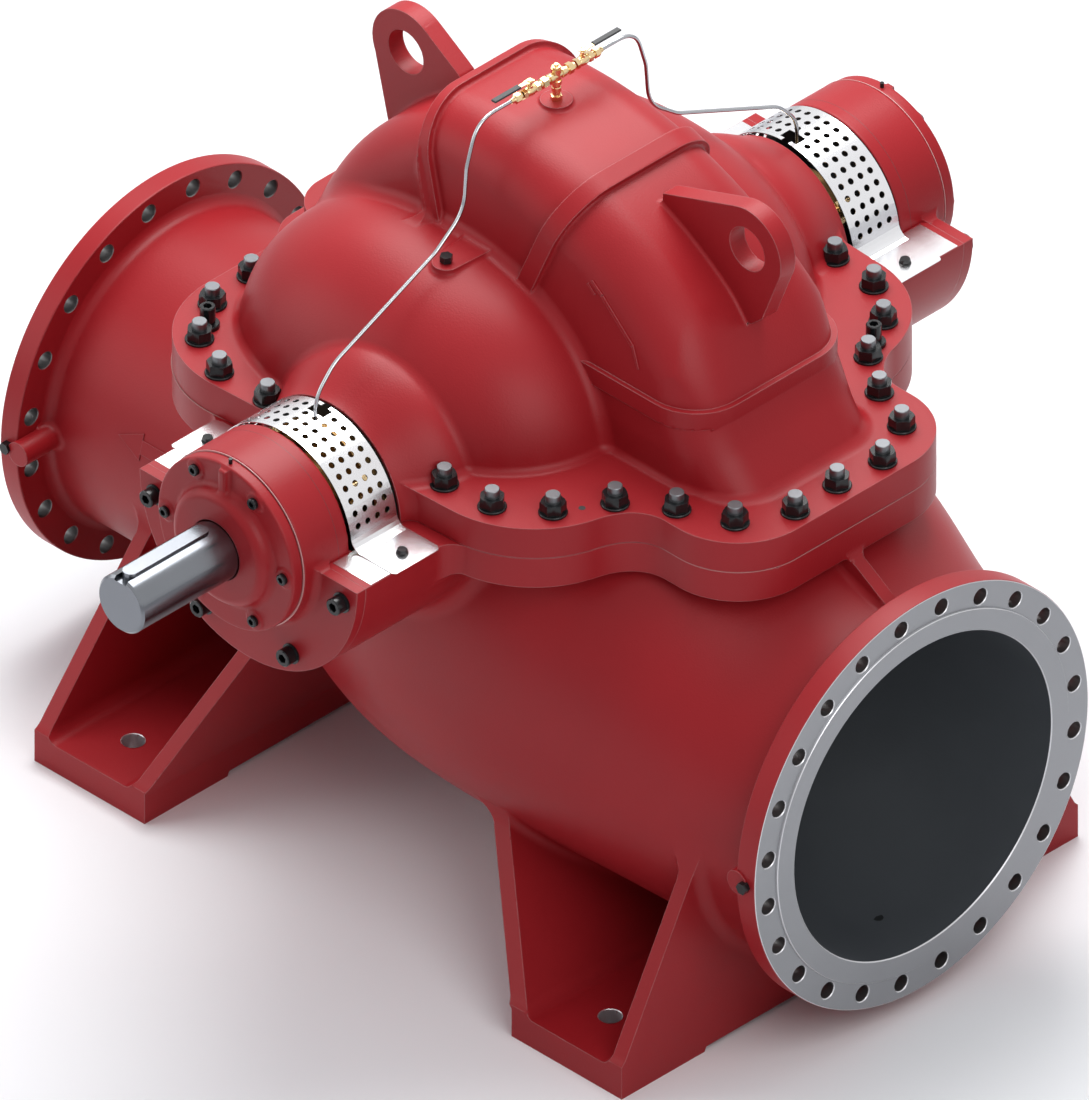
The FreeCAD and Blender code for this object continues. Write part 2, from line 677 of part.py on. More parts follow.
housing = turned("housing_barrel", [
    ("-housing_end", "shaft_journal_radius + journal_clearance"), ("-housing_end", "housing_radius"),
    ("-housing_start", "housing_radius"), ("-housing_start", "shaft_journal_radius + journal_clearance")])
half_disc = common("housing_half_disc", cylinder("housing_disc", "bracket_radius", "housing_flange", "0",
                   "-bracket_end", "shaft_height", "Y"), below)
housing_core = cylinder("housing_core", "housing_radius - housing_flange", "2 * bracket_end_thickness", "0",
                        "-bracket_end - bracket_end_thickness", "shaft_height", "Y")
both_ends("bearing_housing", fuse("drive_end_housing", housing, cut("housing_wings", half_disc, housing_core)))

cover = turned("drive_cover", [
    ("-housing_end - cover_thickness - cover_hub_length", "cover_hole_radius"),
    ("-housing_end - cover_thickness - cover_hub_length", "cover_hub_radius - 25"),
    ("-housing_end - cover_thickness - cover_hub_length + 8", "cover_hub_radius - 8"),
    ("-housing_end - cover_thickness", "cover_hub_radius"),
    ("-housing_end - cover_thickness", "cover_radius"),
    ("-housing_end", "cover_radius"), ("-housing_end", "cover_hole_radius")])
keep("drive_end_bearing_cover", cover)
far_cover = turned("far_cover", [
    ("housing_end", "0"), ("housing_end", "cover_radius"), ("housing_end + cover_thickness", "cover_radius"),
    ("housing_end + cover_thickness", "cover_hub_radius"),
    ("housing_end + cover_thickness + far_cover_rise", "cover_hub_radius - 2 * far_cover_rise"),
    ("housing_end + cover_thickness + far_cover_rise", "0")])
keep("far_end_bearing_cover", far_cover)

gland = turned("drive_gland", [
    ("-neck_end - gland_thickness", "sleeve_radius + sleeve_gap"), ("-neck_end - gland_thickness", "gland_radius"),
    ("-neck_end", "gland_radius"), ("-neck_end", "casing_bore_radius"),
    ("-neck_end + gland_spigot_length", "casing_bore_radius"),
    ("-neck_end + gland_spigot_length", "sleeve_radius + sleeve_gap")])
both_ends("gland", gland)

guard_ring = turned("guard_ring", [
    ("-guard_end", "guard_radius - guard_thickness"), ("-guard_end", "guard_radius"),
    ("-guard_start", "guard_radius"), ("-guard_start", "guard_radius - guard_thickness")])
over_rail = box("over_rail", ("-guard_foot_reach", "guard_foot_reach"), ("-shaft_end", "shaft_end"),
                ("shaft_height + rail_thickness", "shaft_height + guard_foot_reach"))
guard_feet = []
for side, start, stop in (("left", "-guard_foot_reach", "-guard_radius + guard_thickness"),
                          ("right", "guard_radius - guard_thickness", "guard_foot_reach")):
    guard_feet.append(box("guard_foot_" + side, (start, stop), ("-guard_end", "-guard_start"),
                          ("shaft_height + rail_thickness", "shaft_height + rail_thickness + guard_thickness")))
tube_notch = box("tube_notch", ("-guard_notch_half_width", "guard_notch_half_width"),
                 ("-guard_start - guard_notch_length", "-guard_start + 10"), ("shaft_height + 100", "shaft_height + 300"))
guard = cut("drive_guard", fuse("guard_sheet", common("guard_arch", guard_ring, over_rail), *guard_feet), tube_notch)
both_ends("shaft_guard", guard)

rails = []
for side, start, stop in (("left", "-bracket_radius", "-rail_inner"), ("right", "rail_inner", "bracket_radius")):
    rails.append(box("rail_" + side, (start, stop), ("-rail_end", "-guard_start"),
                     ("shaft_height", "shaft_height + rail_thickness")))
both_ends("guard_rails", fuse("drive_rails", *rails))

# Rotor
shaft = turned("shaft", [
    ("-shaft_end", "0"), ("-shaft_end", "shaft_end_radius - shaft_chamfer"),
    ("-shaft_end + shaft_chamfer", "shaft_end_radius"), ("-housing_end", "shaft_end_radius"),
    ("-housing_end", "shaft_journal_radius"), ("shaft_far_end", "shaft_journal_radius"),
    ("shaft_far_end", "0")])
key_start = "-shaft_end + key_end_gap + key_width / 2"
key_stop = "-housing_end - cover_thickness - cover_hub_length - key_hub_gap - key_width / 2"
key_floor = "shaft_height + shaft_end_radius - key_depth"


def key_form(label, start, height):
    """A flat bar along the shaft with round ends."""
    parts = [box(label + "_bar", ("-key_width / 2", "key_width / 2"), (start, key_stop),
                 (key_floor, f"{key_floor} + {height}"))]
    for name, middle in (("_outer_end", start), ("_inner_end", key_stop)):
        parts.append(cylinder(label + name, "key_width / 2", height, "0", middle, key_floor))
    return fuse(label, *parts)


keep("pump_shaft", cut("pump_shaft", shaft, key_form("keyway", "-shaft_end - key_width", "2 * key_height")))
keep("shaft_key", key_form("shaft_key", key_start, "key_height"))
sleeve = turned("drive_sleeve", [
    ("-sleeve_outer_end", "shaft_journal_radius"), ("-sleeve_outer_end", "sleeve_radius"),
    ("-sleeve_inner_end", "sleeve_radius"), ("-sleeve_inner_end", "shaft_journal_radius")])
both_ends("shaft_sleeve", sleeve)

# Vent and flush manifold on top of the volute
line = "shaft_height + vent_boss_top + flush_line_rise"
keep("vent_nipple", cylinder("vent_nipple", "nipple_radius", "flush_line_rise - fitting_radius", "0", "0",
                             "shaft_height + vent_boss_top"))
tee = fuse("tee", cylinder("tee_run", "fitting_radius", "2 * (valve_offset - valve_length / 2)", "0",
                           "-valve_offset + valve_length / 2", line, "Y"),
           cylinder("tee_branch", "fitting_radius", "2 * fitting_radius", "0", "0", line + " - fitting_radius"))
keep("flush_tee", tee)
keep("tee_plug", hexagon("tee_plug", "fitting_radius", "16", "0", "0", line + " + fitting_radius"))
valve = fuse("valve", hexagon("valve_body", "fitting_radius + 3", "valve_length", "0",
                              "-valve_offset - valve_length / 2", line, "Y"),
             cylinder("valve_stem", "5", "valve_stem_height - lever_clearance", "0", "-valve_offset", line))
both_ends("flush_valve", valve)
lever = box("lever", ("-lever_width / 2", "lever_width / 2"),
            ("-valve_offset - lever_length", "-valve_offset + lever_width / 2"),
            (line + " + valve_stem_height", line + " + valve_stem_height + lever_thickness"))
both_ends("valve_lever", lever)
nut = cut("nut", hexagon("nut_hexagon", "nut_radius", "nut_end - valve_offset - valve_length / 2", "0", "-nut_end",
                         line, "Y"),
          cylinder("nut_bore", "flush_tube_radius", "nut_end - valve_offset - valve_length / 2", "0", "-nut_end",
                   line, "Y"))
both_ends("tube_nut", nut)


def bent_tube(label, route, tube_radius):
    """A round tube through the middle plane: straight runs joined by tangent bends."""
    points = [Vector(0, y, z) for y, z in route]
    edges = []
    last = points[0]
    for before, corner, after in zip(points, points[1:], points[2:]):
        back = (before - corner).normalize()
        ahead = (after - corner).normalize()
        turn = math.pi - back.getAngle(ahead)
        reach = 0.45 * min(before.distanceToPoint(corner), corner.distanceToPoint(after))
        radius = reach / math.tan(turn / 2)
        start = corner + back * reach
        stop = corner + ahead * reach
        middle_way = (back + ahead).normalize()
        middle = corner + middle_way * (radius / math.cos(turn / 2) - radius)
        edges.append(Part.LineSegment(last, start).toShape())
        edges.append(Part.Arc(start, middle, stop).toShape())
        last = stop
    edges.append(Part.LineSegment(last, points[-1]).toShape())
    path = Part.Wire(edges)
    ring = Part.Wire(Part.makeCircle(tube_radius, points[0], (points[1] - points[0]).normalize()))
    tube = doc.addObject("Part::Feature", label)
    tube.Shape = path.makePipeShell([ring], True, True)
    return tube


top = size("vent_boss_top") + size("flush_line_rise")
route = [(-98, top), (-215, top), (-244, 560), (-252, 462), (-330, 402), (-605, 280), (-655, 225), (-657, 160)]
flush = bent_tube("flush", [(y, size("shaft_height") + z) for y, z in route], size("flush_tube_radius"))
both_ends("flush_tube", flush)

# Small plugs and grease nipples
keep("suction_tapping_plug", hexagon("suction_plug", "plug_radius", "plug_height",
                                     "suction_flange_face - raised_face_height - suction_flange_thickness / 2",
                                     "-suction_flange_radius - plug_height", "nozzle_axis_height", "Y"))
keep("discharge_tapping_plug", hexagon("discharge_plug", "plug_radius", "plug_height",
                                       "-discharge_flange_face + raised_face_height + discharge_flange_thickness / 2",
                                       "-discharge_flange_radius - plug_height", "nozzle_axis_height", "Y"))
both_ends("chamber_plug", hexagon("chamber_plug", "plug_radius", "plug_height", "0", "-vent_pad_y",
                                  "shaft_height + vent_pad_top"))
both_ends("grease_nipple", cylinder("grease_nipple", "4", "nipple_height", "0",
                                    "-housing_end - cover_thickness / 2", "shaft_height + cover_radius"))

# Check everything, then write one file for each piece
doc.recompute()
for thing in doc.Objects:
    if "Invalid" in thing.State or "Error" in thing.State:
        raise RuntimeError(f"{thing.Name} did not build: {thing.State}")
for piece in KEEP:
    if piece.Shape.isNull() or not piece.Shape.isValid():
        raise RuntimeError(f"{piece.Label} has no sound shape")
for piece in KEEP:
    piece.Shape.exportStep(f"parts/{piece.Label}.step")
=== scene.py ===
import functools
import itertools
import json
import math

import bpy
import numpy as np
from mathutils import Matrix, Vector


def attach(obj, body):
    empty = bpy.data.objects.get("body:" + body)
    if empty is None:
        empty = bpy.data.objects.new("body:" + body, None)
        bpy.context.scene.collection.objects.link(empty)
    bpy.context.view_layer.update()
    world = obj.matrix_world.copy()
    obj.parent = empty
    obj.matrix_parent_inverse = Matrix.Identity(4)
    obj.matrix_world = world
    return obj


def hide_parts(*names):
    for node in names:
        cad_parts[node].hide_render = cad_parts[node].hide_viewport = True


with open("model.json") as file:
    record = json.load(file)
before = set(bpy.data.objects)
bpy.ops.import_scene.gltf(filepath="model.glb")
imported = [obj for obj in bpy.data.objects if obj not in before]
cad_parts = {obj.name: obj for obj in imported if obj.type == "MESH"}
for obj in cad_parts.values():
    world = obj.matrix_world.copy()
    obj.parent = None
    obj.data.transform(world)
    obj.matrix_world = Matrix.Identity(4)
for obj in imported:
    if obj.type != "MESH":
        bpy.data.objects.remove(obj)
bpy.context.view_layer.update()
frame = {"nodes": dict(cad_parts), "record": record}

# A horizontal split case pump. Metres in the scene; the cast forms are worked out in millimetres,
# x towards the suction nozzle, y towards the far end, z up from the shaft axis.
MM = 0.001
SHAFT_HEIGHT = 1050.0
GROUND = -SHAFT_HEIGHT

# Split flange
FLANGE_TOP = 70.0
FLANGE_BOTTOM = -68.0
GASKET = 1.0
SPLIT_CORNERS = (290.0, 350.0), (-340.0, 378.0)
SPLIT_CORNER_RADIUS = 233.0

# Volute band of the upper casing
BAND_X = -41.0
BAND_Z = -253.0
BAND_RADIUS = 848.0
BACK_X = 58.0
BACK_Z = 6.0
BACK_RADIUS = 588.0
BAND_TOP = 595.0
BAND_HALF = 190.0
BAND_DRAFT = 0.07
BAND_EDGE = 106.0
BAND_FRONT_X = 597.0
BAND_FRONT_Z = 240.0
BAND_FRONT_WAY = 0.9637, 0.2668

# Straps over the band: tilt in degrees, thickness and top; how far they stand over its sides, corner radius
BACK_STRAP = -17.0, 24.0, 620.0
FRONT_STRAP = 21.5, 40.0, 611.0
STRAP_STEP = 14.0
STRAP_CORNER = 118.0

# Box under the band and the flat straps round its foot
BOX_TOP = 208.0
BOX_REACH = 595.0
BOX_HALF = 209.0
BOX_DEPTH = 350.0
BOX_CORNER = 100.0
LOW_STRAP = 200.0, 240.0
BACK_LOW_STRAP = 162.0, 200.0

# Suction chambers
CHAMBER_X = -85.0
CHAMBER_Y = 232.0
CHAMBER_AHEAD = 450.0
CHAMBER_BEHIND = 433.0
CHAMBER_HALF_WIDTH = 309.0
CHAMBER_HEIGHT = 366.0
CHAMBER_FULLNESS = 2.3
DOME_START = 478.0
DOME_LENGTH = 150.0
DOME_RISE = 56.0

# Vent boss
VENT_RADIUS = 32.0
VENT_TOP = 601.0
CASING_BORE = 96.0

# Lifting ears: outlines in the middle plane
BACK_EAR = [(-482, 523), (-434, 322), (-200, 320), (-210, 500), (-246, 543), (-343, 605)]
FRONT_EAR = [(311, 543), (505, 611), (626, 495), (581, 381), (552, 355), (440, 330), (300, 420)]
EAR_THICKNESS = 40.0
BACK_EYE_X = -390.0
FRONT_EYE_X = 540.0
EYE_Z = 526.0
EYE_OUTER = 91.5
EYE_HOLE = 47.5

# Nozzles
NOZZLE_Z = 505.0 - SHAFT_HEIGHT
SUCTION_BACK = 946.0
SUCTION_STEP = 995.0
SUCTION_FACE = 1000.0
SUCTION_RADIUS = 455.0
SUCTION_RAISED = 397.0
SUCTION_BORE = 350.0
SUCTION_CIRCLE = 420.0
SUCTION_HOLES = 24
DISCHARGE_BACK = -1050.0
DISCHARGE_STEP = -1095.0
DISCHARGE_FACE = -1100.0
DISCHARGE_RADIUS = 420.0
DISCHARGE_RAISED = 360.0
DISCHARGE_BORE = 300.0
DISCHARGE_CIRCLE = 385.0
DISCHARGE_HOLES = 20
FLANGE_HOLE = 18.0
DRAIN_X = 876.0
DARK_SURFACE_GAP = 4.0

# Passages behind the flanges: radius, length, and how much they narrow
SUCTION_WAY = SUCTION_BORE, 554.0, 120.0
DISCHARGE_WAY = DISCHARGE_BORE, 516.0, 60.0

# Feet, with heights from the ground; the walls' tops as height and half length
FOOT_INNER = 500.0
FOOT_OUTER = 800.0
FOOT_HALF = 622.0
FOOT_WALL = 33.0
FOOT_FILLET = 26.0
SLAB_TOP = 62.0
WALL_FOOT = 66.0
PAD_START = 396.0
FOUNDATION_X = 650.0
FOUNDATION_Y = 503.0
FOUNDATION_HOLE = 23.0
SUCTION_FOOT = 0.90, (352, 422), (446, 421)
DISCHARGE_FOOT = 0.325, (335, 421), (425, 326)

# Ends
NECK_RADIUS = 185.0
NECK_END = 612.0
BRACKET_RADIUS = 296.0
BRACKET_END = 815.0
TROUGH_RADIUS = 190.0

# A distance that no form of the pump comes near
OUTSIDE = 1e6


# Distances to simple forms: negative inside
def joined(a, b, radius):
    """Union of two forms with a cast fillet of this radius between them."""
    corner = np.hypot(np.maximum(radius - a, 0), np.maximum(radius - b, 0))
    return np.maximum(radius, np.minimum(a, b)) - corner


def shared(a, b, radius):
    """Common part of two forms with its outer edge rounded to this radius."""
    corner = np.hypot(np.maximum(radius + a, 0), np.maximum(radius + b, 0))
    return np.minimum(-radius, np.maximum(a, b)) + corner


def cut(*forms):
    """Common part of forms with sharp edges."""
    return functools.reduce(np.maximum, forms)


def rectangle(a, b, half_a, half_b, corner=0.0):
    qa = np.abs(a) - half_a + corner
    qb = np.abs(b) - half_b + corner
    return np.hypot(np.maximum(qa, 0), np.maximum(qb, 0)) + np.minimum(np.maximum(qa, qb), 0) - corner


def between(value, low, high):
    return np.abs(value - 0.5 * (low + high)) - 0.5 * (high - low)


def oval(x, y, z, rx, ry, rz, power):
    """An ellipsoid, or with a higher power a fuller one."""
    ax, ay, az = np.abs(x) / rx, np.abs(y) / ry, np.abs(z) / rz
    total = ax ** power + ay ** power + az ** power + 1e-9
    level = total ** (1 / power)
    rises = [(part ** (power - 1) / radius) ** 2 for part, radius in ((ax, rx), (ay, ry), (az, rz))]
    slope = np.sqrt(rises[0] + rises[1] + rises[2]) * level ** (1 - power) + 1e-9
    return (level - 1) / slope


def split_outline(x, y):
    """Plan of the split flange: four round corners, a tongue to each side."""
    ay = np.abs(y)
    (near_x, near_y), (far_x, far_y) = SPLIT_CORNERS
    span = np.hypot(far_x - near_x, far_y - near_y)
    ux, uy = (near_x - far_x) / span, (near_y - far_y) / span
    along = np.clip((x - far_x) * ux + (ay - far_y) * uy, 0, span)
    side = np.hypot(x - far_x - along * ux, ay - far_y - along * uy)
    inside = (x > far_x) & (x < near_x) & ((ay - far_y) * ux - (x - far_x) * uy < 0)
    left = np.where(ay < far_y, np.abs(x - far_x), OUTSIDE)
    right = np.where(ay < near_y, np.abs(x - near_x), OUTSIDE)
    edge = np.minimum(side, np.minimum(left, right))
    body = np.where(inside, -edge, edge) - SPLIT_CORNER_RADIUS
    suction = rectangle(x - 406, y, 406, 317, 159)
    discharge = rectangle(x + 310, y, 310, 190, 90)
    return joined(joined(body, suction, 90), discharge, 30)


def polygon(a, b, corners):
    """Signed distance to a convex outline, corners in turning order."""
    result = np.full_like(a, -OUTSIDE)
    middle_a = sum(corner[0] for corner in corners) / len(corners)
    middle_b = sum(corner[1] for corner in corners) / len(corners)
    for (a0, b0), (a1, b1) in zip(corners, corners[1:] + corners[:1]):
        na, nb = b1 - b0, a0 - a1
        size = math.hypot(na, nb)
        if (middle_a - a0) * na + (middle_b - b0) * nb > 0:
            size = -size
        result = np.maximum(result, ((a - a0) * na + (b - b0) * nb) / size)
    return result


def ear(x, y, z, corners, eye_x):
    """A lifting ear in the middle plane: a plate that runs into a round eye."""
    eye = np.hypot(x - eye_x, z - EYE_Z) - EYE_OUTER
    plan = np.minimum(polygon(x, z, corners), eye)
    return np.maximum(plan, np.abs(y) - EAR_THICKNESS / 2)


def strap(x, y, z, tilt, thickness, top, half):
    """A rib over the band in a plane through the shaft axis, tilted from upright."""
    s, c = math.sin(math.radians(tilt)), math.cos(math.radians(tilt))
    across = x * c - z * s
    along = x * s + z * c
    face = rectangle(y, along - (top - 500), half, 500, STRAP_CORNER)
    return np.maximum(face, np.abs(across) - thickness / 2), across


def upper_field(x, y, z):
    ay = np.abs(y)
    plate = np.maximum(split_outline(x, y), between(z, GASKET, FLANGE_TOP))

    spread = BAND_DRAFT * np.clip(BAND_TOP - z, 0, 450)
    side = ay - BAND_HALF - spread
    front = (x - BAND_FRONT_X) * BAND_FRONT_WAY[0] + (z - BAND_FRONT_Z) * BAND_FRONT_WAY[1]
    ring = shared(np.hypot(x - BAND_X, z - BAND_Z) - BAND_RADIUS, front, 60)
    behind = np.hypot(x - BACK_X, z - BACK_Z) - BACK_RADIUS
    strap_half = BAND_HALF + STRAP_STEP + spread
    back, back_across = strap(x, y, z, *BACK_STRAP, strap_half)
    front_strap, _ = strap(x, y, z, *FRONT_STRAP, strap_half)
    band = shared(np.where(back_across > 0, ring, behind), side, BAND_EDGE)

    lean = np.clip(200 - z, -60, 200)
    box_reach = BOX_REACH + 0.79 * lean
    box_half = BOX_HALF - 0.05 * lean
    box = rectangle(x - (box_reach - BOX_DEPTH), y, BOX_DEPTH, box_half, BOX_CORNER) * 0.82
    box = np.maximum(box, z - BOX_TOP)

    low_strap = cut(rectangle(x - 257, y, 350, 225, 112), between(z, *LOW_STRAP), 100 - x)
    back_low = cut(rectangle(x + 404, y, 128, 214, 100), between(z, *BACK_LOW_STRAP))

    ahead = np.where(x > CHAMBER_X, CHAMBER_AHEAD, CHAMBER_BEHIND)
    chamber = oval(x - CHAMBER_X, ay - CHAMBER_Y, z, ahead, CHAMBER_HALF_WIDTH, CHAMBER_HEIGHT,
                   CHAMBER_FULLNESS)
    along = np.clip((ay - DOME_START) / DOME_LENGTH, 0, 1)
    dome = (np.hypot(x, z) - NECK_RADIUS - DOME_RISE * (1 - along ** 2) ** 2) * 0.85
    end = cut(dome, ay - NECK_END, 380 - ay)

    body = joined(band, box, 14)
    body = joined(body, chamber, 26)
    body = joined(body, end, 10)
    body = joined(body, back, 4 + 40 * np.clip(-back_across / 12, 0, 1))
    body = joined(body, front_strap, 4)
    body = np.minimum(body, low_strap)
    body = np.minimum(body, back_low)

    tail_half = 28 + 7 * np.clip((-170 + ay) / -130 + 1, 0, 1)
    boss = np.hypot(x, ay - 300) - 28
    tail = np.maximum(np.abs(x) - tail_half, between(ay, 140, 300))
    pad = cut(np.minimum(boss, tail), z - CHAMBER_HEIGHT, 150 - z)
    body = joined(body, pad, 8)

    body = joined(body, ear(x, y, z, BACK_EAR, BACK_EYE_X), 10)
    body = joined(body, ear(x, y, z, FRONT_EAR, FRONT_EYE_X), 8)
    vent = cut(np.hypot(x, y) - VENT_RADIUS, z - VENT_TOP, 300 - z)
    body = joined(body, vent, 6)

    whole = joined(plate, np.maximum(body, GASKET - z), 16)
    for eye_x in (BACK_EYE_X, FRONT_EYE_X):
        whole = np.maximum(whole, EYE_HOLE - np.hypot(x - eye_x, z - EYE_Z))
    return cut(whole, CASING_BORE - np.hypot(x, z), GASKET - z)


# Sections of the bowl along x: half width, depth below and height above the widest level, that level
BOWL = np.array([
    (-1060, 336, 336, 336, -545),
    (-900, 336, 336, 336, -545),
    (-640, 338, 338, 350, -543),
    (-480, 350, 340, 400, -535),
    (-333, 392, 345, 470, -520),
    (-250, 432, 372, 500, -505),
    (-124, 486, 418, 520, -480),
    (21, 524, 446, 530, -462),
    (128, 530, 456, 530, -460),
    (300, 522, 460, 520, -462),
    (450, 500, 452, 490, -475),
    (638, 462, 436, 470, -505),
    (800, 420, 420, 425, -535),
    (900, 400, 400, 402, -544),
    (960, 393, 393, 393, -545),
], float)


def spline(knots, values):
    """A natural cubic through the values, as a function."""
    n = len(knots)
    step = np.diff(knots)
    system = np.eye(n)
    right = np.zeros(n)
    for i in range(1, n - 1):
        system[i, i - 1] = step[i - 1]
        system[i, i] = 2 * (step[i - 1] + step[i])
        system[i, i + 1] = step[i]
        right[i] = 6 * ((values[i + 1] - values[i]) / step[i] - (values[i] - values[i - 1]) / step[i - 1])
    bend = np.linalg.solve(system, right)

    def curve(at):
        at = np.clip(at, knots[0], knots[-1])
        i = np.clip(np.searchsorted(knots, at) - 1, 0, n - 2)
        left, space = at - knots[i], step[i]
        rest = space - left
        swell = (bend[i] * rest ** 3 + bend[i + 1] * left ** 3) / (6 * space)
        fall = (values[i] / space - bend[i] * space / 6) * rest
        climb = (values[i + 1] / space - bend[i + 1] * space / 6) * left
        return swell + fall + climb

    return curve


BOWL_AT = [spline(BOWL[:, 0], BOWL[:, column]) for column in range(1, 5)]


def bowl_field(x, y, z):
    half, low, high, level = (curve(x) for curve in BOWL_AT)
    rise = z - level
    up = rise > 0
    power = np.where(up, 2.0 + 0.6 * np.clip((high - 336) / 190, 0, 1), 2.0)
    depth = np.where(up, high, low)
    ay, az = np.abs(y) / half, np.abs(rise) / depth
    total = ay ** power + az ** power + 1e-9
    size = total ** (1 / power)
    slope = np.hypot(ay ** (power - 1) / half, az ** (power - 1) / depth) * size ** (1 - power) + 1e-9
    return np.clip((size - 1) / slope, -400, 4000) * 0.93


def wall_end(ay, h, top_z, top_half):
    """The end of a foot's wall: upright on the slab, then leaning in to its half length at the top."""
    slope = math.atan2(FOOT_HALF - top_half, top_z - WALL_FOOT)
    end = (ay - FOOT_HALF) * math.cos(slope) + (h - WALL_FOOT) * math.sin(slope)
    return np.maximum(end, ay - FOOT_HALF)


def foot_field(x, y, z, side, lean, inner_top, outer_top):
    """One channel foot: a slab with pads, an upright outer wall and a leaning inner wall."""
    fx = x * side
    ay = np.abs(y)
    h = z - GROUND
    across = between(fx, FOOT_INNER, FOOT_OUTER)
    slab = cut(across, ay - FOOT_HALF, between(h, 16, SLAB_TOP))
    pads = cut(across, between(ay, PAD_START, FOOT_HALF), between(h, 0, 30))
    slab = np.minimum(slab, pads)

    rise = between(h, 20, 560)
    outer = cut(between(fx, FOOT_OUTER - FOOT_WALL, FOOT_OUTER), wall_end(ay, h, *outer_top), rise)
    wall_x = FOOT_INNER - np.maximum(h - WALL_FOOT, 0) * lean
    tilt = 1 / math.hypot(1, lean)
    upright = np.where(h < WALL_FOOT, between(fx, FOOT_INNER, FOOT_INNER + FOOT_WALL), -OUTSIDE)
    inner = cut((wall_x - fx) * tilt, (fx - wall_x) * tilt - FOOT_WALL, upright)
    inner = cut(inner, wall_end(ay, h, *inner_top), rise)
    walls = np.maximum(joined(slab, outer, FOOT_FILLET), fx - FOOT_OUTER)
    walls = np.maximum(joined(walls, inner, FOOT_FILLET), ay - FOOT_HALF)
    return np.maximum(walls, (wall_x - fx) * tilt)


def waterway(depth, radius, length, drop):
    """Radius of the passage behind a pipe flange at a depth from its face."""
    return radius - 0.5 - drop * np.clip((depth - 100) / (length - 100), 0, 1) ** 1.7


def lower_field(x, y, z):
    ay = np.abs(y)
    plate = np.maximum(split_outline(x, y), between(z, FLANGE_BOTTOM, 0))
    shaft_way = np.hypot(x, z)
    bowl = cut(bowl_field(x, y, z), z + 4, between(x, -1060, 955))
    bracket = cut(shaft_way - BRACKET_RADIUS, ay - BRACKET_END, 300 - ay)
    neck = np.maximum(shaft_way - NECK_RADIUS, ay - NECK_END)
    trough = np.maximum(shaft_way - TROUGH_RADIUS, between(ay, NECK_END, 745))
    seat = np.maximum(shaft_way - 180, 740 - ay)

    body = joined(bowl, plate, 22)
    body = joined(body, bracket, 40)
    body = np.maximum(body, -trough)
    body = np.maximum(body, -seat)
    body = np.minimum(body, neck)

    feet = np.minimum(foot_field(x, y, z, 1, *SUCTION_FOOT), foot_field(x, y, z, -1, *DISCHARGE_FOOT))
    body = joined(body, feet, 24)

    rib_top = (z - FLANGE_BOTTOM + 0.62 * (x - 812)) * 0.85
    rib = cut(np.abs(y) - 15, between(x, 560, 948), rib_top, between(z, -300, -30))
    body = joined(body, rib, 14)

    around = np.hypot(y, z - NOZZLE_Z)
    body = joined(body, np.maximum(around - 400, between(x, SUCTION_BACK + 0.3, SUCTION_BACK + 20)), 16)
    body = joined(body, np.maximum(around - 365, between(x, DISCHARGE_BACK - 20, DISCHARGE_BACK - 0.3)), 24)
    for lug_x, low_y, high_y in ((DISCHARGE_BACK + 10, -428, -300), (SUCTION_BACK + 3, -458, -380)):
        lug = np.maximum(np.hypot(x - lug_x, z - NOZZLE_Z) - 26, between(y, low_y, high_y))
        body = joined(body, lug, 10)

    for depth, bore in ((SUCTION_FACE - x, SUCTION_WAY), (x - DISCHARGE_FACE, DISCHARGE_WAY)):
        hollow = np.maximum(around - waterway(depth, *bore) - DARK_SURFACE_GAP, depth - bore[1] - DARK_SURFACE_GAP)
        body = np.maximum(body, -hollow)
    body = np.maximum(body, CASING_BORE - np.hypot(x, z))
    for foot_x in (-FOUNDATION_X, FOUNDATION_X):
        hole = FOUNDATION_HOLE - np.hypot(x - foot_x, ay - FOUNDATION_Y)
        body = np.maximum(body, hole + np.where(z > GROUND + 150, -OUTSIDE, 0))
    return np.maximum(body, z)


# Surfaces from fields: one vertex in each crossed cell, one four-sided face for each crossed edge
POINTS_AT_ONCE = 400000
WEAKEST_PLANE = 0.08
CELL_PLAY = 0.25


def gradient(field, points, reach=0.6):
    """Unit normals of a field, by differences over this reach."""
    steps = []
    for axis in range(3):
        moved = np.zeros(3)
        moved[axis] = reach
        steps.append(field(*(points + moved).T) - field(*(points - moved).T))
    normals = np.stack(steps, axis=1)
    return normals / (np.linalg.norm(normals, axis=1, keepdims=True) + 1e-12)


def sample(field, axes, cell):
    """Values on the grid, worked out finely only where a coarser grid comes near the surface."""
    step = 4
    coarse = [axis[::step] for axis in axes]
    gx, gy, gz = np.meshgrid(*coarse, indexing="ij")
    rough = field(gx.ravel(), gy.ravel(), gz.ravel()).reshape(gx.shape)
    near = []
    for axis, part in zip(axes, coarse):
        near.append(np.minimum((np.arange(len(axis)) + step // 2) // step, len(part) - 1))
    values = rough[np.ix_(*near)].astype(np.float64)
    i, j, k = np.nonzero(np.abs(values) < 2.2 * step * cell)
    for start in range(0, len(i), POINTS_AT_ONCE):
        part = slice(start, start + POINTS_AT_ONCE)
        a, b, c = i[part], j[part], k[part]
        values[a, b, c] = field(axes[0][a], axes[1][b], axes[2][c])
    return values


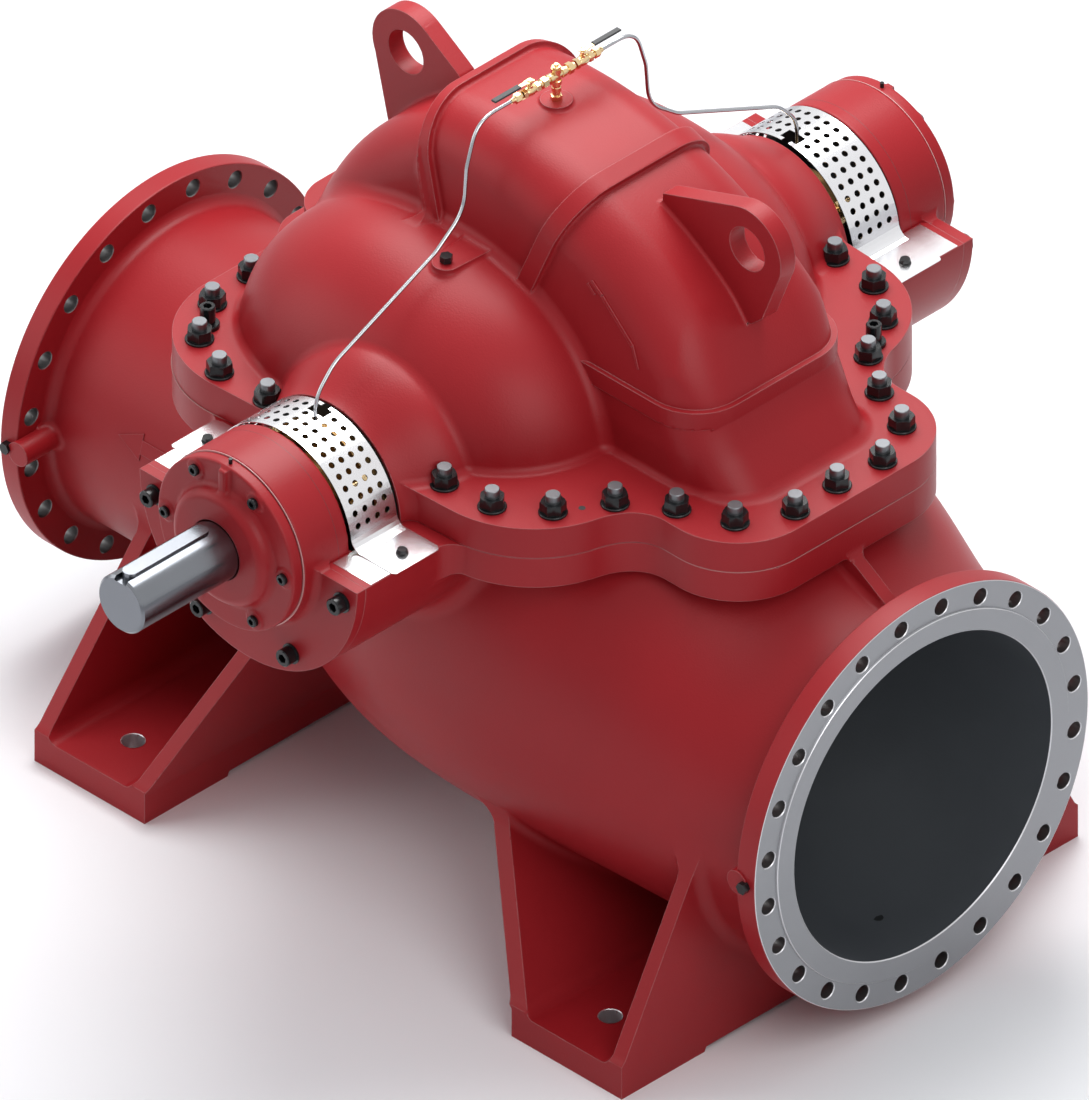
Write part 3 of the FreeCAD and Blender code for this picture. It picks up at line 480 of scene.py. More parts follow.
def crossings(field, values, axes, axis, cells):
    """Where the surface crosses the grid's edges along one axis: cells round each edge, point, sense."""
    inside = values < 0
    first = [slice(None)] * 3
    second = [slice(None)] * 3
    first[axis], second[axis] = slice(0, -1), slice(1, None)
    index = np.stack(np.nonzero(inside[tuple(first)] != inside[tuple(second)]), axis=1)
    b, c = (axis + 1) % 3, (axis + 2) % 3
    keep = (index[:, b] > 0) & (index[:, c] > 0) & (index[:, b] < cells[b]) & (index[:, c] < cells[c])
    index = index[keep]
    other = index.copy()
    other[:, axis] += 1
    lo = np.stack([axes[n][index[:, n]] for n in range(3)], axis=1)
    hi = np.stack([axes[n][other[:, n]] for n in range(3)], axis=1)
    v_lo = values[tuple(index.T)]
    v_hi = values[tuple(other.T)]
    leaving = v_lo > 0
    for _ in range(4):
        share = np.clip(v_lo / (v_lo - v_hi + 1e-12), 0.02, 0.98)[:, None]
        mid = lo + (hi - lo) * share
        v_mid = field(*mid.T)
        low_side = (v_mid < 0) == (v_lo < 0)
        lo = np.where(low_side[:, None], mid, lo)
        v_lo = np.where(low_side, v_mid, v_lo)
        hi = np.where(low_side[:, None], hi, mid)
        v_hi = np.where(low_side, v_hi, v_mid)
    share = np.clip(v_lo / (v_lo - v_hi + 1e-12), 0, 1)[:, None]
    around = []
    for db, dc in ((-1, -1), (0, -1), (0, 0), (-1, 0)):
        cell_index = index.copy()
        cell_index[:, b] += db
        cell_index[:, c] += dc
        around.append((cell_index[:, 0] * cells[1] + cell_index[:, 1]) * cells[2] + cell_index[:, 2])
    return np.stack(around, axis=1), lo + (hi - lo) * share, leaving


def surface(field, low, high, cell):
    """Vertices and faces of a field's zero level; each vertex lies where its cell's tangent planes meet."""
    axes = [low[n] + cell * np.arange(int(math.ceil((high[n] - low[n]) / cell)) + 1) for n in range(3)]
    values = sample(field, axes, cell)
    cells = np.array(values.shape) - 1
    found = [crossings(field, values, axes, axis, cells) for axis in range(3)]
    owner, points, flips = (np.concatenate(part) for part in zip(*found))
    normals = gradient(field, points)
    ids, where = np.unique(owner.ravel(), return_inverse=True)
    where = where.reshape(-1)
    count = len(ids)
    planes = np.repeat(normals, 4, axis=0)
    spots = np.repeat(points, 4, axis=0)
    weight = np.bincount(where, minlength=count)
    mass = np.stack([np.bincount(where, spots[:, n], count) for n in range(3)], axis=1) / weight[:, None]
    ata = np.zeros((count, 3, 3))
    offset = np.einsum("ij,ij->i", planes, spots - mass[where])
    atb = np.zeros((count, 3))
    for a in range(3):
        atb[:, a] = np.bincount(where, planes[:, a] * offset, count)
        for b in range(3):
            ata[:, a, b] = np.bincount(where, planes[:, a] * planes[:, b], count)
    level, vectors = np.linalg.eigh(ata)
    strong = level > WEAKEST_PLANE * level[:, -1:]
    inverse = np.where(strong, 1 / np.maximum(level, 1e-9), 0)
    shift = np.einsum("nij,nj,nkj,nk->ni", vectors, inverse, vectors, atb)
    corner = np.stack([ids // (cells[1] * cells[2]), ids // cells[2] % cells[1], ids % cells[2]], axis=1)
    floor = np.array([axis[0] for axis in axes]) + corner * cell
    vertices = np.clip(mass + shift, floor - CELL_PLAY * cell, floor + (1 + CELL_PLAY) * cell)
    faces = where.reshape(-1, 4)
    faces = np.where(flips[:, None], faces[:, ::-1], faces)
    corners = vertices[faces]
    across = np.cross(corners[:, 2] - corners[:, 0], corners[:, 3] - corners[:, 1])
    turned = np.einsum("ij,ij->i", across, gradient(field, corners.mean(axis=1))) < 0
    faces = np.where(turned[:, None], faces[:, ::-1], faces)
    return vertices, faces


def shaded(mesh, field):
    """Corner normals from the field just inside each corner, so flat faces stay flat up to their edges."""
    count = len(mesh.loops)
    vertex = np.zeros(count, np.int64)
    mesh.loops.foreach_get("vertex_index", vertex)
    total = np.zeros(len(mesh.polygons), np.int64)
    mesh.polygons.foreach_get("loop_total", total)
    points = np.zeros(len(mesh.vertices) * 3)
    mesh.vertices.foreach_get("co", points)
    points = points.reshape(-1, 3) / MM
    points[:, 2] -= SHAFT_HEIGHT
    face_of = np.repeat(np.arange(len(total)), total)
    sums = [np.bincount(face_of, points[vertex][:, n], len(total)) for n in range(3)]
    centre = np.stack(sums, axis=1) / total[:, None]
    at = points[vertex] * 0.8 + centre[face_of] * 0.2
    normals = gradient(field, at)
    flat = np.zeros(len(total) * 3)
    mesh.polygons.foreach_get("normal", flat)
    flat = flat.reshape(-1, 3)
    astray = np.einsum("ij,ij->i", normals, flat[face_of]) < 0.5
    normals = np.where(astray[:, None], flat[face_of], normals)
    mesh.normals_split_custom_set(normals.tolist())


def linked(name, data):
    """A new object in the scene."""
    made = bpy.data.objects.new(name, data)
    bpy.context.scene.collection.objects.link(made)
    return made


def settle(piece, kind, **settings):
    """Applies a modifier with these settings."""
    modifier = piece.modifiers.new(kind.lower(), kind)
    for key, value in settings.items():
        setattr(modifier, key, value)
    graph = bpy.context.evaluated_depsgraph_get()
    fresh = bpy.data.meshes.new_from_object(piece.evaluated_get(graph))
    piece.modifiers.clear()
    piece.data = fresh


def cast(name, field, low, high, cell, nodes, flatten=False):
    """A casting from its field, as one piece, or as two that meet in the plane x = 0 if nodes names two."""
    vertices, faces = surface(field, low, high, cell)
    vertices[:, 2] = np.maximum(vertices[:, 2], GROUND) + SHAFT_HEIGHT
    sides = {name: np.full(len(faces), True)}
    if isinstance(nodes, dict):
        ahead = vertices[faces].mean(axis=1)[:, 0] > 0
        sides = {name + "_suction": ahead, name + "_discharge": ~ahead}
    for part, chosen in sides.items():
        used, corners = np.unique(faces[chosen], return_inverse=True)
        mesh = bpy.data.meshes.new(part)
        mesh.from_pydata((vertices[used] * MM).tolist(), [], corners.reshape(-1, 4).tolist())
        piece = linked(part, mesh)
        if flatten:
            settle(piece, "DECIMATE", decimate_type="DISSOLVE", angle_limit=math.radians(0.3))
            settle(piece, "TRIANGULATE", min_vertices=5)
            mesh = piece.data
        mesh.polygons.foreach_set("use_smooth", [True] * len(mesh.polygons))
        shaded(mesh, field)
        mesh.materials.append(RED)
        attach(piece, "casing")
        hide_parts(*(nodes[part] if isinstance(nodes, dict) else nodes))


# Materials
def noise(tree, place, scale, detail):
    made = tree.nodes.new("ShaderNodeTexNoise")
    made.inputs["Scale"].default_value = scale
    made.inputs["Detail"].default_value = detail
    tree.links.new(place, made.inputs["Vector"])
    return made.outputs["Fac"]


def ranged(tree, source, **settings):
    """A value mapped to another range; the settings name its sockets, with _ for a space."""
    made = tree.nodes.new("ShaderNodeMapRange")
    for key, value in settings.items():
        made.inputs[key.replace("_", " ")].default_value = value
    tree.links.new(source, made.inputs["Value"])
    return made


def combined(tree, operation, first, second):
    """Two values combined; the second is a number or the output of a node."""
    made = tree.nodes.new("ShaderNodeMath")
    made.operation = operation
    tree.links.new(first, made.inputs[0])
    if isinstance(second, float):
        made.inputs[1].default_value = second
    else:
        tree.links.new(second, made.inputs[1])
    return made.outputs["Value"]


def blend(tree, factor, first, second):
    """Two colours mixed; the first is a colour or the output of a node."""
    made = tree.nodes.new("ShaderNodeMix")
    made.data_type = "RGBA"
    tree.links.new(factor, made.inputs["Factor"])
    if isinstance(first, tuple):
        made.inputs["A"].default_value = first
    else:
        tree.links.new(first, made.inputs["A"])
    made.inputs["B"].default_value = second
    return made.outputs["Result"]


def material(name, colour, roughness, metallic=0.0, bump=0.0, grain=400.0, mottle=0.0, mottle_scale=6.0,
             soft_edge=0.0, specular=0.5, edge_wear_and_highlight=0.25):
    """Mottled colour, uneven roughness, fine bumps, and paler edges found by the bevelled normal: partly worn
    paint, partly a painted highlight along the edges.
    """
    made = bpy.data.materials.new(name)
    made.use_nodes = True
    tree = made.node_tree
    shader = tree.nodes["Principled BSDF"]
    shader.inputs["Metallic"].default_value = metallic
    shader.inputs["Specular IOR Level"].default_value = specular
    place = tree.nodes.new("ShaderNodeTexCoord").outputs["Object"]
    cloud = noise(tree, place, mottle_scale, 6)
    dark = tuple(c * (1 - mottle) for c in colour) + (1,)
    light = tuple(min(c * (1 + mottle), 1) for c in colour) + (1,)
    paint = blend(tree, cloud, dark, light)
    rough = ranged(tree, cloud, To_Min=roughness - 0.05, To_Max=roughness + 0.05)
    tree.links.new(rough.outputs["Result"], shader.inputs["Roughness"])
    edge = tree.nodes.new("ShaderNodeBevel")
    edge.samples = 4 if soft_edge else 2
    edge.inputs["Radius"].default_value = soft_edge or 0.0008
    turn = tree.nodes.new("ShaderNodeVectorMath")
    turn.operation = "DOT_PRODUCT"
    tree.links.new(edge.outputs["Normal"], turn.inputs[0])
    tree.links.new(tree.nodes.new("ShaderNodeNewGeometry").outputs["Normal"], turn.inputs[1])
    # Paler edges: partly worn paint, partly a painted highlight where edges would catch the light.
    worn_and_highlit_edge = ranged(tree, turn.outputs["Value"], From_Min=0.99, From_Max=0.85, To_Max=edge_wear_and_highlight)
    patchy_wear_and_highlight = combined(tree, "MULTIPLY", worn_and_highlit_edge.outputs["Result"], cloud)
    wear_and_highlight_colour = tuple(c + 0.55 * (1 - c) for c in colour) + (1,)
    tree.links.new(blend(tree, patchy_wear_and_highlight, paint, wear_and_highlight_colour), shader.inputs["Base Color"])
    last = edge.outputs["Normal"] if soft_edge else None
    if bump:
        lift = tree.nodes.new("ShaderNodeBump")
        lift.inputs["Distance"].default_value = bump
        lift.inputs["Strength"].default_value = 0.5
        tree.links.new(noise(tree, place, grain, 3), lift.inputs["Height"])
        if last:
            tree.links.new(last, lift.inputs["Normal"])
        last = lift.outputs["Normal"]
    if last:
        tree.links.new(last, shader.inputs["Normal"])
    return made


RED = material("red_paint", (0.305, 0.0115, 0.016), 0.40, bump=0.0006, grain=260, mottle=0.10, mottle_scale=5,
               soft_edge=0.003, edge_wear_and_highlight=0.55, specular=0.24)
RED_SMALL = material("red_paint_small", (0.305, 0.0115, 0.016), 0.40, bump=0.0004, grain=260, mottle=0.10,
                     soft_edge=0.002, edge_wear_and_highlight=0.5, specular=0.24)
MACHINED = material("machined_face", (0.29, 0.295, 0.31), 0.42, metallic=0.6, bump=0.0001, grain=900,
                    mottle=0.08)
DARK_BORE = material("dark_bore", (0.060, 0.066, 0.074), 0.5, bump=0.0006, grain=200, mottle=0.15)
STAINLESS = material("stainless", (0.78, 0.78, 0.80), 0.24, metallic=1.0, bump=0.00008, grain=700,
                     mottle=0.04)
STEEL = material("shaft_steel", (0.20, 0.21, 0.23), 0.22, metallic=1.0, bump=0.00005, grain=900, mottle=0.05)
OXIDE = material("black_oxide", (0.007, 0.008, 0.009), 0.2, bump=0.0001, grain=700, mottle=0.2,
                 specular=0.35)
# Black coat of the lever grip; also painted shade in the gland space, the drain hole and the dowel holes.
BLACK_COAT_AND_PAINTED_SHADE = material("black_coat", (0.012, 0.013, 0.014), 0.5, bump=0.0002, grain=600, mottle=0.2)
TUBE_STEEL = material("tube_steel", (0.46, 0.47, 0.49), 0.2, metallic=1.0, bump=0.00005, grain=600,
                      mottle=0.05)
BRASS = material("brass", (0.78, 0.58, 0.32), 0.22, metallic=1.0, bump=0.0001, grain=500, mottle=0.08)
BRONZE = material("bronze", (0.45, 0.27, 0.11), 0.35, metallic=1.0, bump=0.0002, grain=500, mottle=0.1)
# A pale pink painted highlight along the seam between housing and cover.
PAINTED_SEAM_HIGHLIGHT = material("painted_seam_highlight", (0.62, 0.34, 0.33), 0.35, bump=0.0001, grain=500, mottle=0.15)
# Dark red painted shade for a shallow groove round the housing barrel.
PAINTED_GROOVE_SHADE = material("red_painted_groove_shade", (0.10, 0.006, 0.008), 0.5, bump=0.0002, grain=300, mottle=0.1)
STUD_STEEL = material("stud_steel", (0.16, 0.165, 0.175), 0.38, metallic=0.9, bump=0.0002, grain=700,
                      mottle=0.2)
HOLE_WALL = material("hole_wall", (0.16, 0.155, 0.155), 0.35, metallic=0.8, bump=0.0002, grain=600,
                     mottle=0.2)
# Pale steel: a painted highlight on the flange chamfers and the side of the raised face, and on the bare
# foundation hole rims.
BARE_EDGE_AND_HIGHLIGHT = material("bare_edge_and_painted_highlight", (0.62, 0.62, 0.64), 0.35, metallic=0.7, bump=0.0001, grain=800,
                       mottle=0.05)
GASKET_PALE = material("gasket", (0.42, 0.20, 0.19), 0.6, bump=0.0002, grain=500, mottle=0.1)

BY_SLOT = {
    "red_casting": RED_SMALL, "gasket": GASKET_PALE, "machined_steel": MACHINED, "stainless": STAINLESS,
    "shaft_steel": STEEL, "bronze": BRONZE, "brass": BRASS, "black_coat": BLACK_COAT_AND_PAINTED_SHADE, "black_oxide": OXIDE,
}


for row in frame["record"]["subparts"]:
    node = frame["nodes"][row["node"]]
    node.data.materials.clear()
    node.data.materials.append(BY_SLOT[row["material_slot"]])

cell_upper = 6.0
cell_lower = 8.0
cast("upper_casing_skin", upper_field, (-640.3, -650.3, -24.7), (850, 650, 660), cell_upper, ["upper_casing"],
     flatten=True)
LOWER_NODES = {
    "lower_casing_skin_suction": ["lower_casing", "suction_side_foot", "drive_end_bracket",
                                  "far_end_bracket"],
    "lower_casing_skin_discharge": ["discharge_side_foot"]}
cast("lower_casing_skin", lower_field, (-1090.3, -850.3, -1072.7), (985, 850, 24), cell_lower, LOWER_NODES,
     flatten=True)


# Crisp pieces: vertices in millimetres, z from the shaft axis
def piece_of(name, parts, body, look, nodes=(), crease=30.0):
    """One piece from (vertices, faces) parts, or (vertices, faces, material index) with several looks."""
    points, faces, looks = [], [], []
    for part in parts:
        shift = len(points)
        points += [tuple(p) for p in part[0]]
        faces += [tuple(v + shift for v in face) for face in part[1]]
        which = part[2] if len(part) > 2 else 0
        looks += which if isinstance(which, list) else [which] * len(part[1])
    mesh = bpy.data.meshes.new(name)
    mesh.from_pydata([(x * MM, y * MM, (z + SHAFT_HEIGHT) * MM) for x, y, z in points], [], faces)
    for material_of in look if isinstance(look, list) else [look]:
        mesh.materials.append(material_of)
    mesh.polygons.foreach_set("material_index", looks)
    mesh.polygons.foreach_set("use_smooth", [True] * len(mesh.polygons))
    mesh.set_sharp_from_angle(angle=math.radians(crease))
    mesh.update()
    piece = linked(name, mesh)
    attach(piece, body)
    if nodes:
        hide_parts(*nodes)
    return piece


def hexed(radius, steps=24):
    """Distances from the middle to a hexagon of this corner radius, at even angles."""
    flat = radius * math.cos(math.pi / 6)
    turns = [2 * math.pi * n / steps for n in range(steps)]
    return [flat / math.cos((turn + math.pi / 6) % (math.pi / 3) - math.pi / 6) for turn in turns]


def stack(rings, steps=24, look=0):
    """A turned or faceted body along +z from rings (radius or list of radii, height), closed at both ends."""
    points, faces = [], []
    for radius, height in rings:
        radii = radius if isinstance(radius, list) else [radius] * steps
        for n in range(steps):
            turn = 2 * math.pi * n / steps
            points.append((radii[n] * math.cos(turn), radii[n] * math.sin(turn), height))
    for ring in range(len(rings) - 1):
        for n in range(steps):
            m = (n + 1) % steps
            a, b = ring * steps, (ring + 1) * steps
            faces.append((a + n, a + m, b + m, b + n))
    faces.append(tuple(range(steps))[::-1])
    faces.append(tuple(range((len(rings) - 1) * steps, len(rings) * steps)))
    return points, faces, look


def placed(part, at, axis=(0, 0, 1), turn=0.0):
    """The same body with its z axis along this direction, its origin here."""
    turned = Matrix.Rotation(turn, 3, "Z")
    aim = Vector(axis).normalized()
    way = aim.to_track_quat("Z", "Y").to_matrix() if aim != Vector((0, 0, 1)) else Matrix.Identity(3)
    full = way @ turned
    points = [tuple(full @ Vector(p) + Vector(at)) for p in part[0]]
    return (points, part[1], *part[2:])


def block(low, high, bevel, look=0):
    """A box with bevelled edges."""
    middle = [(a + b) / 2 for a, b in zip(low, high)]
    half = [(b - a) / 2 for a, b in zip(low, high)]
    points, faces = [], []
    corner = {}
    for signs in itertools.product((-1, 1), repeat=3):
        for axis in range(3):
            inset = [0 if n == axis else bevel for n in range(3)]
            corner[(*signs, axis)] = len(points)
            points.append(tuple(middle[n] + signs[n] * (half[n] - inset[n]) for n in range(3)))
        faces.append([corner[(*signs, n)] for n in range(3)])
    for axis in range(3):
        b, c = (axis + 1) % 3, (axis + 2) % 3
        for side in (-1, 1):
            loop = []
            for sb, sc in ((-1, -1), (1, -1), (1, 1), (-1, 1)):
                key = [0, 0, 0]
                key[axis], key[b], key[c] = side, sb, sc
                loop.append(corner[(*key, axis)])
            faces.append(loop)
        for sb, sc in itertools.product((-1, 1), repeat=2):
            ends = []
            for sa in (-1, 1):
                key = [0, 0, 0]
                key[axis], key[b], key[c] = sa, sb, sc
                ends.append((corner[(*key, b)], corner[(*key, c)]))
            faces.append([ends[0][0], ends[0][1], ends[1][1], ends[1][0]])
    centre = Vector(middle)
    ordered = []
    for face in faces:
        a, b, c = (Vector(points[v]) for v in face[:3])
        middle_of = sum((Vector(points[v]) for v in face), Vector()) / len(face)
        outward = (b - a).cross(c - a).dot(middle_of - centre)
        ordered.append(tuple(face if outward > 0 else face[::-1]))
    return points, ordered, look


def lathe(outline, steps, looks=None, closed=True):
    """A ring turned round +z from an outline of (radius, height)."""
    points, faces, which = [], [], []
    count = len(outline)
    for radius, height in outline:
        for n in range(steps):
            turn = 2 * math.pi * n / steps
            points.append((radius * math.cos(turn), radius * math.sin(turn), height))
    for k in range(count if closed else count - 1):
        j = (k + 1) % count
        for n in range(steps):
            m = (n + 1) % steps
            faces.append((k * steps + n, k * steps + m, j * steps + m, j * steps + n))
            which.append(looks[k] if looks else 0)
    return points, faces, which


HOLE_CHAMFER = 1.6


def drilled_plate(radius, bore, circle, count, hole, thickness, edge=2.5):
    """A flat ring along +z with a circle of holes; looks: 0 outer side, 1 face, 2 hole walls, 4 painted
    highlight on the chamfers at the face side.
    """
    points, faces, looks = [], [], []
    ring_steps = 16
    pitch = 2 * math.pi / count
    turns = [2 * math.pi * k / ring_steps for k in range(ring_steps)]

    def hole_rings(height, hole_r):
        """One ring of points for each hole; the place of the first."""
        start = len(points)
        for n in range(count):
            middle = pitch * (n + 0.5)
            for turn in turns:
                points.append((circle * math.cos(middle) + hole_r * math.cos(middle + turn),
                               circle * math.sin(middle) + hole_r * math.sin(middle + turn), height))
        return start

    def border_point(n, turn, height):
        """Where the spoke at this angle of a hole meets the border of its sector."""
        dx, dy = math.cos(turn), math.sin(turn)
        half = pitch / 2
        if abs(dx) >= abs(dy) - 1e-9:
            r = radius - edge if dx > 0 else bore
            angle = half * max(-1.0, min(1.0, dy / max(abs(dx), 1e-9)))
        else:
            r = bore + (radius - edge - bore) * (0.5 + 0.5 * dx / abs(dy))
            angle = half if dy > 0 else -half
        angle += pitch * (n + 0.5)
        return (r * math.cos(angle), r * math.sin(angle), height)

    rims = {}
    for top in (0, 1):
        height = thickness if top else 0.0
        rims[top] = hole_rings(height, hole + HOLE_CHAMFER)
        border = len(points)
        points += [border_point(n, turn, height) for n in range(count) for turn in turns]
        for n in range(count):
            for k in range(ring_steps):
                m = (k + 1) % ring_steps
                a, b = rims[top] + n * ring_steps, border + n * ring_steps
                face = (a + k, b + k, b + m, a + m)
                faces.append(face if top else face[::-1])
                looks.append(top)
    low = hole_rings(HOLE_CHAMFER, hole)
    high = hole_rings(thickness - HOLE_CHAMFER, hole)
    for n in range(count):
        for k in range(ring_steps):
            m = (k + 1) % ring_steps
            for lower, upper, look in ((rims[0], low, 2), (low, high, 2), (high, rims[1], 4)):
                a, b = lower + n * ring_steps, upper + n * ring_steps
                faces.append((a + k, b + k, b + m, a + m))
                looks.append(look)
    steps = count * 8
    for r0, h0, r1, h1, look in ((radius - edge, 0, radius - 0.3 * edge, 0.3 * edge, 0),
                                 (radius - 0.3 * edge, 0.3 * edge, radius, edge, 0),
                                 (radius, edge, radius, thickness - edge, 0),
                                 (radius, thickness - edge, radius - 0.3 * edge, thickness - 0.3 * edge, 0),
                                 (radius - 0.3 * edge, thickness - 0.3 * edge, radius - edge, thickness, 4)):
        start = len(points)
        for n in range(steps):
            turn = 2 * math.pi * n / steps
            points.append((r0 * math.cos(turn), r0 * math.sin(turn), h0))
            points.append((r1 * math.cos(turn), r1 * math.sin(turn), h1))
        for n in range(steps):
            m = (n + 1) % steps
            faces.append((start + 2 * n, start + 2 * m, start + 2 * m + 1, start + 2 * n + 1))
            looks.append(look)
    return points, faces, looks


def pipe_flange(name, way, back, step, face, radius, raised, bore, circle, count, node):
    thickness = abs(step - back)
    lip = abs(face - step)
    plate = drilled_plate(radius, bore, circle, count, FLANGE_HOLE, thickness)
    # Look 4 on the chamfers and the side of the raised face is a painted highlight.
    ring = lathe([(bore, 0.0), (bore, thickness + lip - 2), (bore + 2, thickness + lip),
                  (raised - 1.5, thickness + lip), (raised, thickness + lip - 1.5), (raised, thickness)],
                 144, looks=[3, 4, 1, 4, 4, 1], closed=False)
    parts = [placed(part, (back, 0, NOZZLE_Z), (way, 0, 0)) for part in (plate, ring)]
    return piece_of(name, parts, "casing", [RED_SMALL, MACHINED, HOLE_WALL, DARK_BORE, BARE_EDGE_AND_HIGHLIGHT],
                    [node])


def dark_surface_inside(name, way, face, bore):
    """The dark inside of a nozzle."""
    depths = [2] + [bore[1] * (0.2 + 0.1 * n) for n in range(9)]
    outline = [(float(waterway(depth, *bore)), face - depth) for depth in depths] + [(2, face - bore[1])]
    points, faces, looks = lathe(outline, 128, closed=False)
    part = (points, [face_of[::-1] for face_of in faces], looks)
    piece_of(name, [placed(part, (0, 0, NOZZLE_Z), (way, 0, 0))], "casing", DARK_BORE)


pipe_flange("suction_flange_plate", 1, SUCTION_BACK, SUCTION_STEP, SUCTION_FACE, SUCTION_RADIUS,
            SUCTION_RAISED, SUCTION_BORE, SUCTION_CIRCLE, SUCTION_HOLES, "suction_flange")
pipe_flange("discharge_flange_plate", -1, DISCHARGE_BACK, DISCHARGE_STEP, DISCHARGE_FACE, DISCHARGE_RADIUS,
            DISCHARGE_RAISED, DISCHARGE_BORE, DISCHARGE_CIRCLE, DISCHARGE_HOLES, "discharge_flange")
dark_surface_inside("suction_dark_surface", 1, SUCTION_FACE, SUCTION_WAY)
dark_surface_inside("discharge_dark_surface", -1, -DISCHARGE_FACE, DISCHARGE_WAY)
# A black disc of painted shade for the drain hole at the bottom of the suction passage.
drain = stack([(11, 0), (11, 1.2)], 32)
drain_z = NOZZLE_Z - waterway(SUCTION_FACE - DRAIN_X, *SUCTION_WAY) - 0.4
piece_of("drain_hole_painted_shade", [placed(drain, (DRAIN_X, 0, drain_z))], "casing", BLACK_COAT_AND_PAINTED_SHADE)

# Fasteners
def chamfered(radius, inner):
    """A hexagon with its corners turned off to the inner radius."""
    return [min(r, inner) for r in hexed(radius)]


WASHER = stack([(28, 0), (29, 1), (29, 4), (27.5, 5.5)])
NUT = stack([(hexed(25.5), 5.2), (hexed(26.6), 6.5), (hexed(26.6), 25), (chamfered(26.6, 24.6), 28)])
STUD = stack([(15, 4), (15, 43.5), (13.8, 45)], look=1)


def socket_screw(head, height, socket):
    return stack([(head, 0), (head, height - 1.8), (head - 1.8, height), (hexed(socket * 1.08), height),
                  (hexed(socket), height - 0.8), (hexed(socket), height * 0.45), (0.5, height * 0.4)])


CASING_NUTS = [
    (227, -532), (345, -520), (441, -450), (505, -345), (604, -276), (714, -227), (770, -119), (765, 0),
    (-212, -575), (-343, -575), (-449, -523), (-514, -423), (-527, -304), (-534, -184), (-568, -79)]
CASING_NUTS += [(x, -y) for x, y in CASING_NUTS if y != 0]
parts = []
for number, (x, y) in enumerate(CASING_NUTS):
    for shape in (WASHER, NUT, STUD):
        parts.append(placed(shape, (x, y, FLANGE_TOP - 0.5), turn=0.7 * number))
piece_of("casing_studs", parts, "casing", [OXIDE, STUD_STEEL])

parts = []
for x, y in ((-470, -480), (480, 385)):
    parts.append(placed(stack([(24, 0), (24, 8), (22, 10)]), (x, y, FLANGE_TOP - 0.5)))
    parts.append(placed(socket_screw(15.5, 40, 9), (x, y, FLANGE_TOP + 8)))
piece_of("jack_screws", parts, "casing", OXIDE)


# Ends: bearing housing and its half flange, cover, guard, rails and screws, for the drive end and mirrored
HOUSING_RADIUS = 187.0
HOUSING_END = 873.0
COVER_RADIUS = 184.5
COVER_CIRCLE = 160.0
COVER_SCREWS = range(0, 360, 60)
HOUSING_CIRCLE = 258.0


def housing_field(x, y, z):
    ay = np.abs(y)
    r = np.hypot(x, z)
    barrel = shared(r - HOUSING_RADIUS, between(ay, 752, HOUSING_END), 3)
    disc = cut(r - BRACKET_RADIUS, z, between(ay, BRACKET_END, 839))
    return np.maximum(joined(barrel, disc, 16), 140 - r)


def cover_field(x, y, z, outer_end, hub_end, hole):
    ay = np.abs(y)
    r = np.hypot(x, z)
    disc = shared(r - COVER_RADIUS, between(ay, HOUSING_END + 1, outer_end), 4)
    hub = shared(r - 130 + 0.35 * np.clip(ay - outer_end, 0, 60), ay - hub_end, 14)
    hub = np.maximum(hub, 880 - ay)
    rib = shared(np.maximum(np.abs(x) - 9, between(z, 100, 178)), ay - outer_end - 12, 4)
    rib = np.maximum(rib, 880 - ay)
    whole = joined(disc, hub, 10)
    whole = joined(whole, rib, 8)
    for degrees in COVER_SCREWS:
        turn = math.radians(degrees)
        boss = np.hypot(x - COVER_CIRCLE * math.cos(turn), z - COVER_CIRCLE * math.sin(turn)) - 21
        whole = joined(whole, np.maximum(shared(boss, ay - outer_end - 3, 2), 880 - ay), 4)
    whole = np.maximum(whole, ay - max(hub_end, outer_end + 12))
    if hole:
        whole = np.maximum(whole, hole - r)
    return whole


small_cell = 5.0
for side, end in ((-1, "drive_end"), (1, "far_end")):
    lo, hi = sorted((side * 740, side * 885))
    cast(end + "_housing_skin", housing_field, (-310, lo, -310), (310, hi, 200), small_cell,
         [end + "_bearing_housing"])
    outer_end, hub_end, hole = (901, 928, 64.5) if side < 0 else (901, 913, 0)
    lo, hi = sorted((side * 865, side * 945))

    def cover(x, y, z):
        return cover_field(x, y, z, outer_end, hub_end, hole)

    cast(end + "_cover_skin", cover, (-200, lo, -200), (200, hi, 200), small_cell, [end + "_bearing_cover"])

    along = (0, side, 0)
    # Thin rings at the ends: a pale pink one is a painted highlight along the cover seam; a dark red one is
    # painted shade standing in for a shallow groove on the barrel.
    for name, y, radius, width, look in (("_cover_seam_painted_highlight", 873.2, 187.3, 1.1, PAINTED_SEAM_HIGHLIGHT),
                                         ("_housing_groove_painted_shade", 779, 187.15, 1.0, PAINTED_GROOVE_SHADE)):
        ring = lathe([(184, 0), (radius, 0), (radius, width), (184, width)], 128)
        piece_of(end + name, [placed(ring, (0, side * y, 0), along)], "casing", look)
    parts = []
    for angle in (-9, -63, -117, -171):
        x, z = HOUSING_CIRCLE * math.cos(math.radians(angle)), HOUSING_CIRCLE * math.sin(math.radians(angle))
        parts.append(placed(stack([(22, 0), (22, 3)]), (x, side * 838.5, z), along))
        parts.append(placed(socket_screw(18, 24, 10), (x, side * 841, z), along, turn=angle))
    for angle in COVER_SCREWS:
        x, z = COVER_CIRCLE * math.cos(math.radians(angle)), COVER_CIRCLE * math.sin(math.radians(angle))
        parts.append(placed(socket_screw(12, 12, 6.5), (x, side * 900.8, z), along, turn=angle + 30))
    piece_of(end + "_cap_screws", parts, "casing", OXIDE)


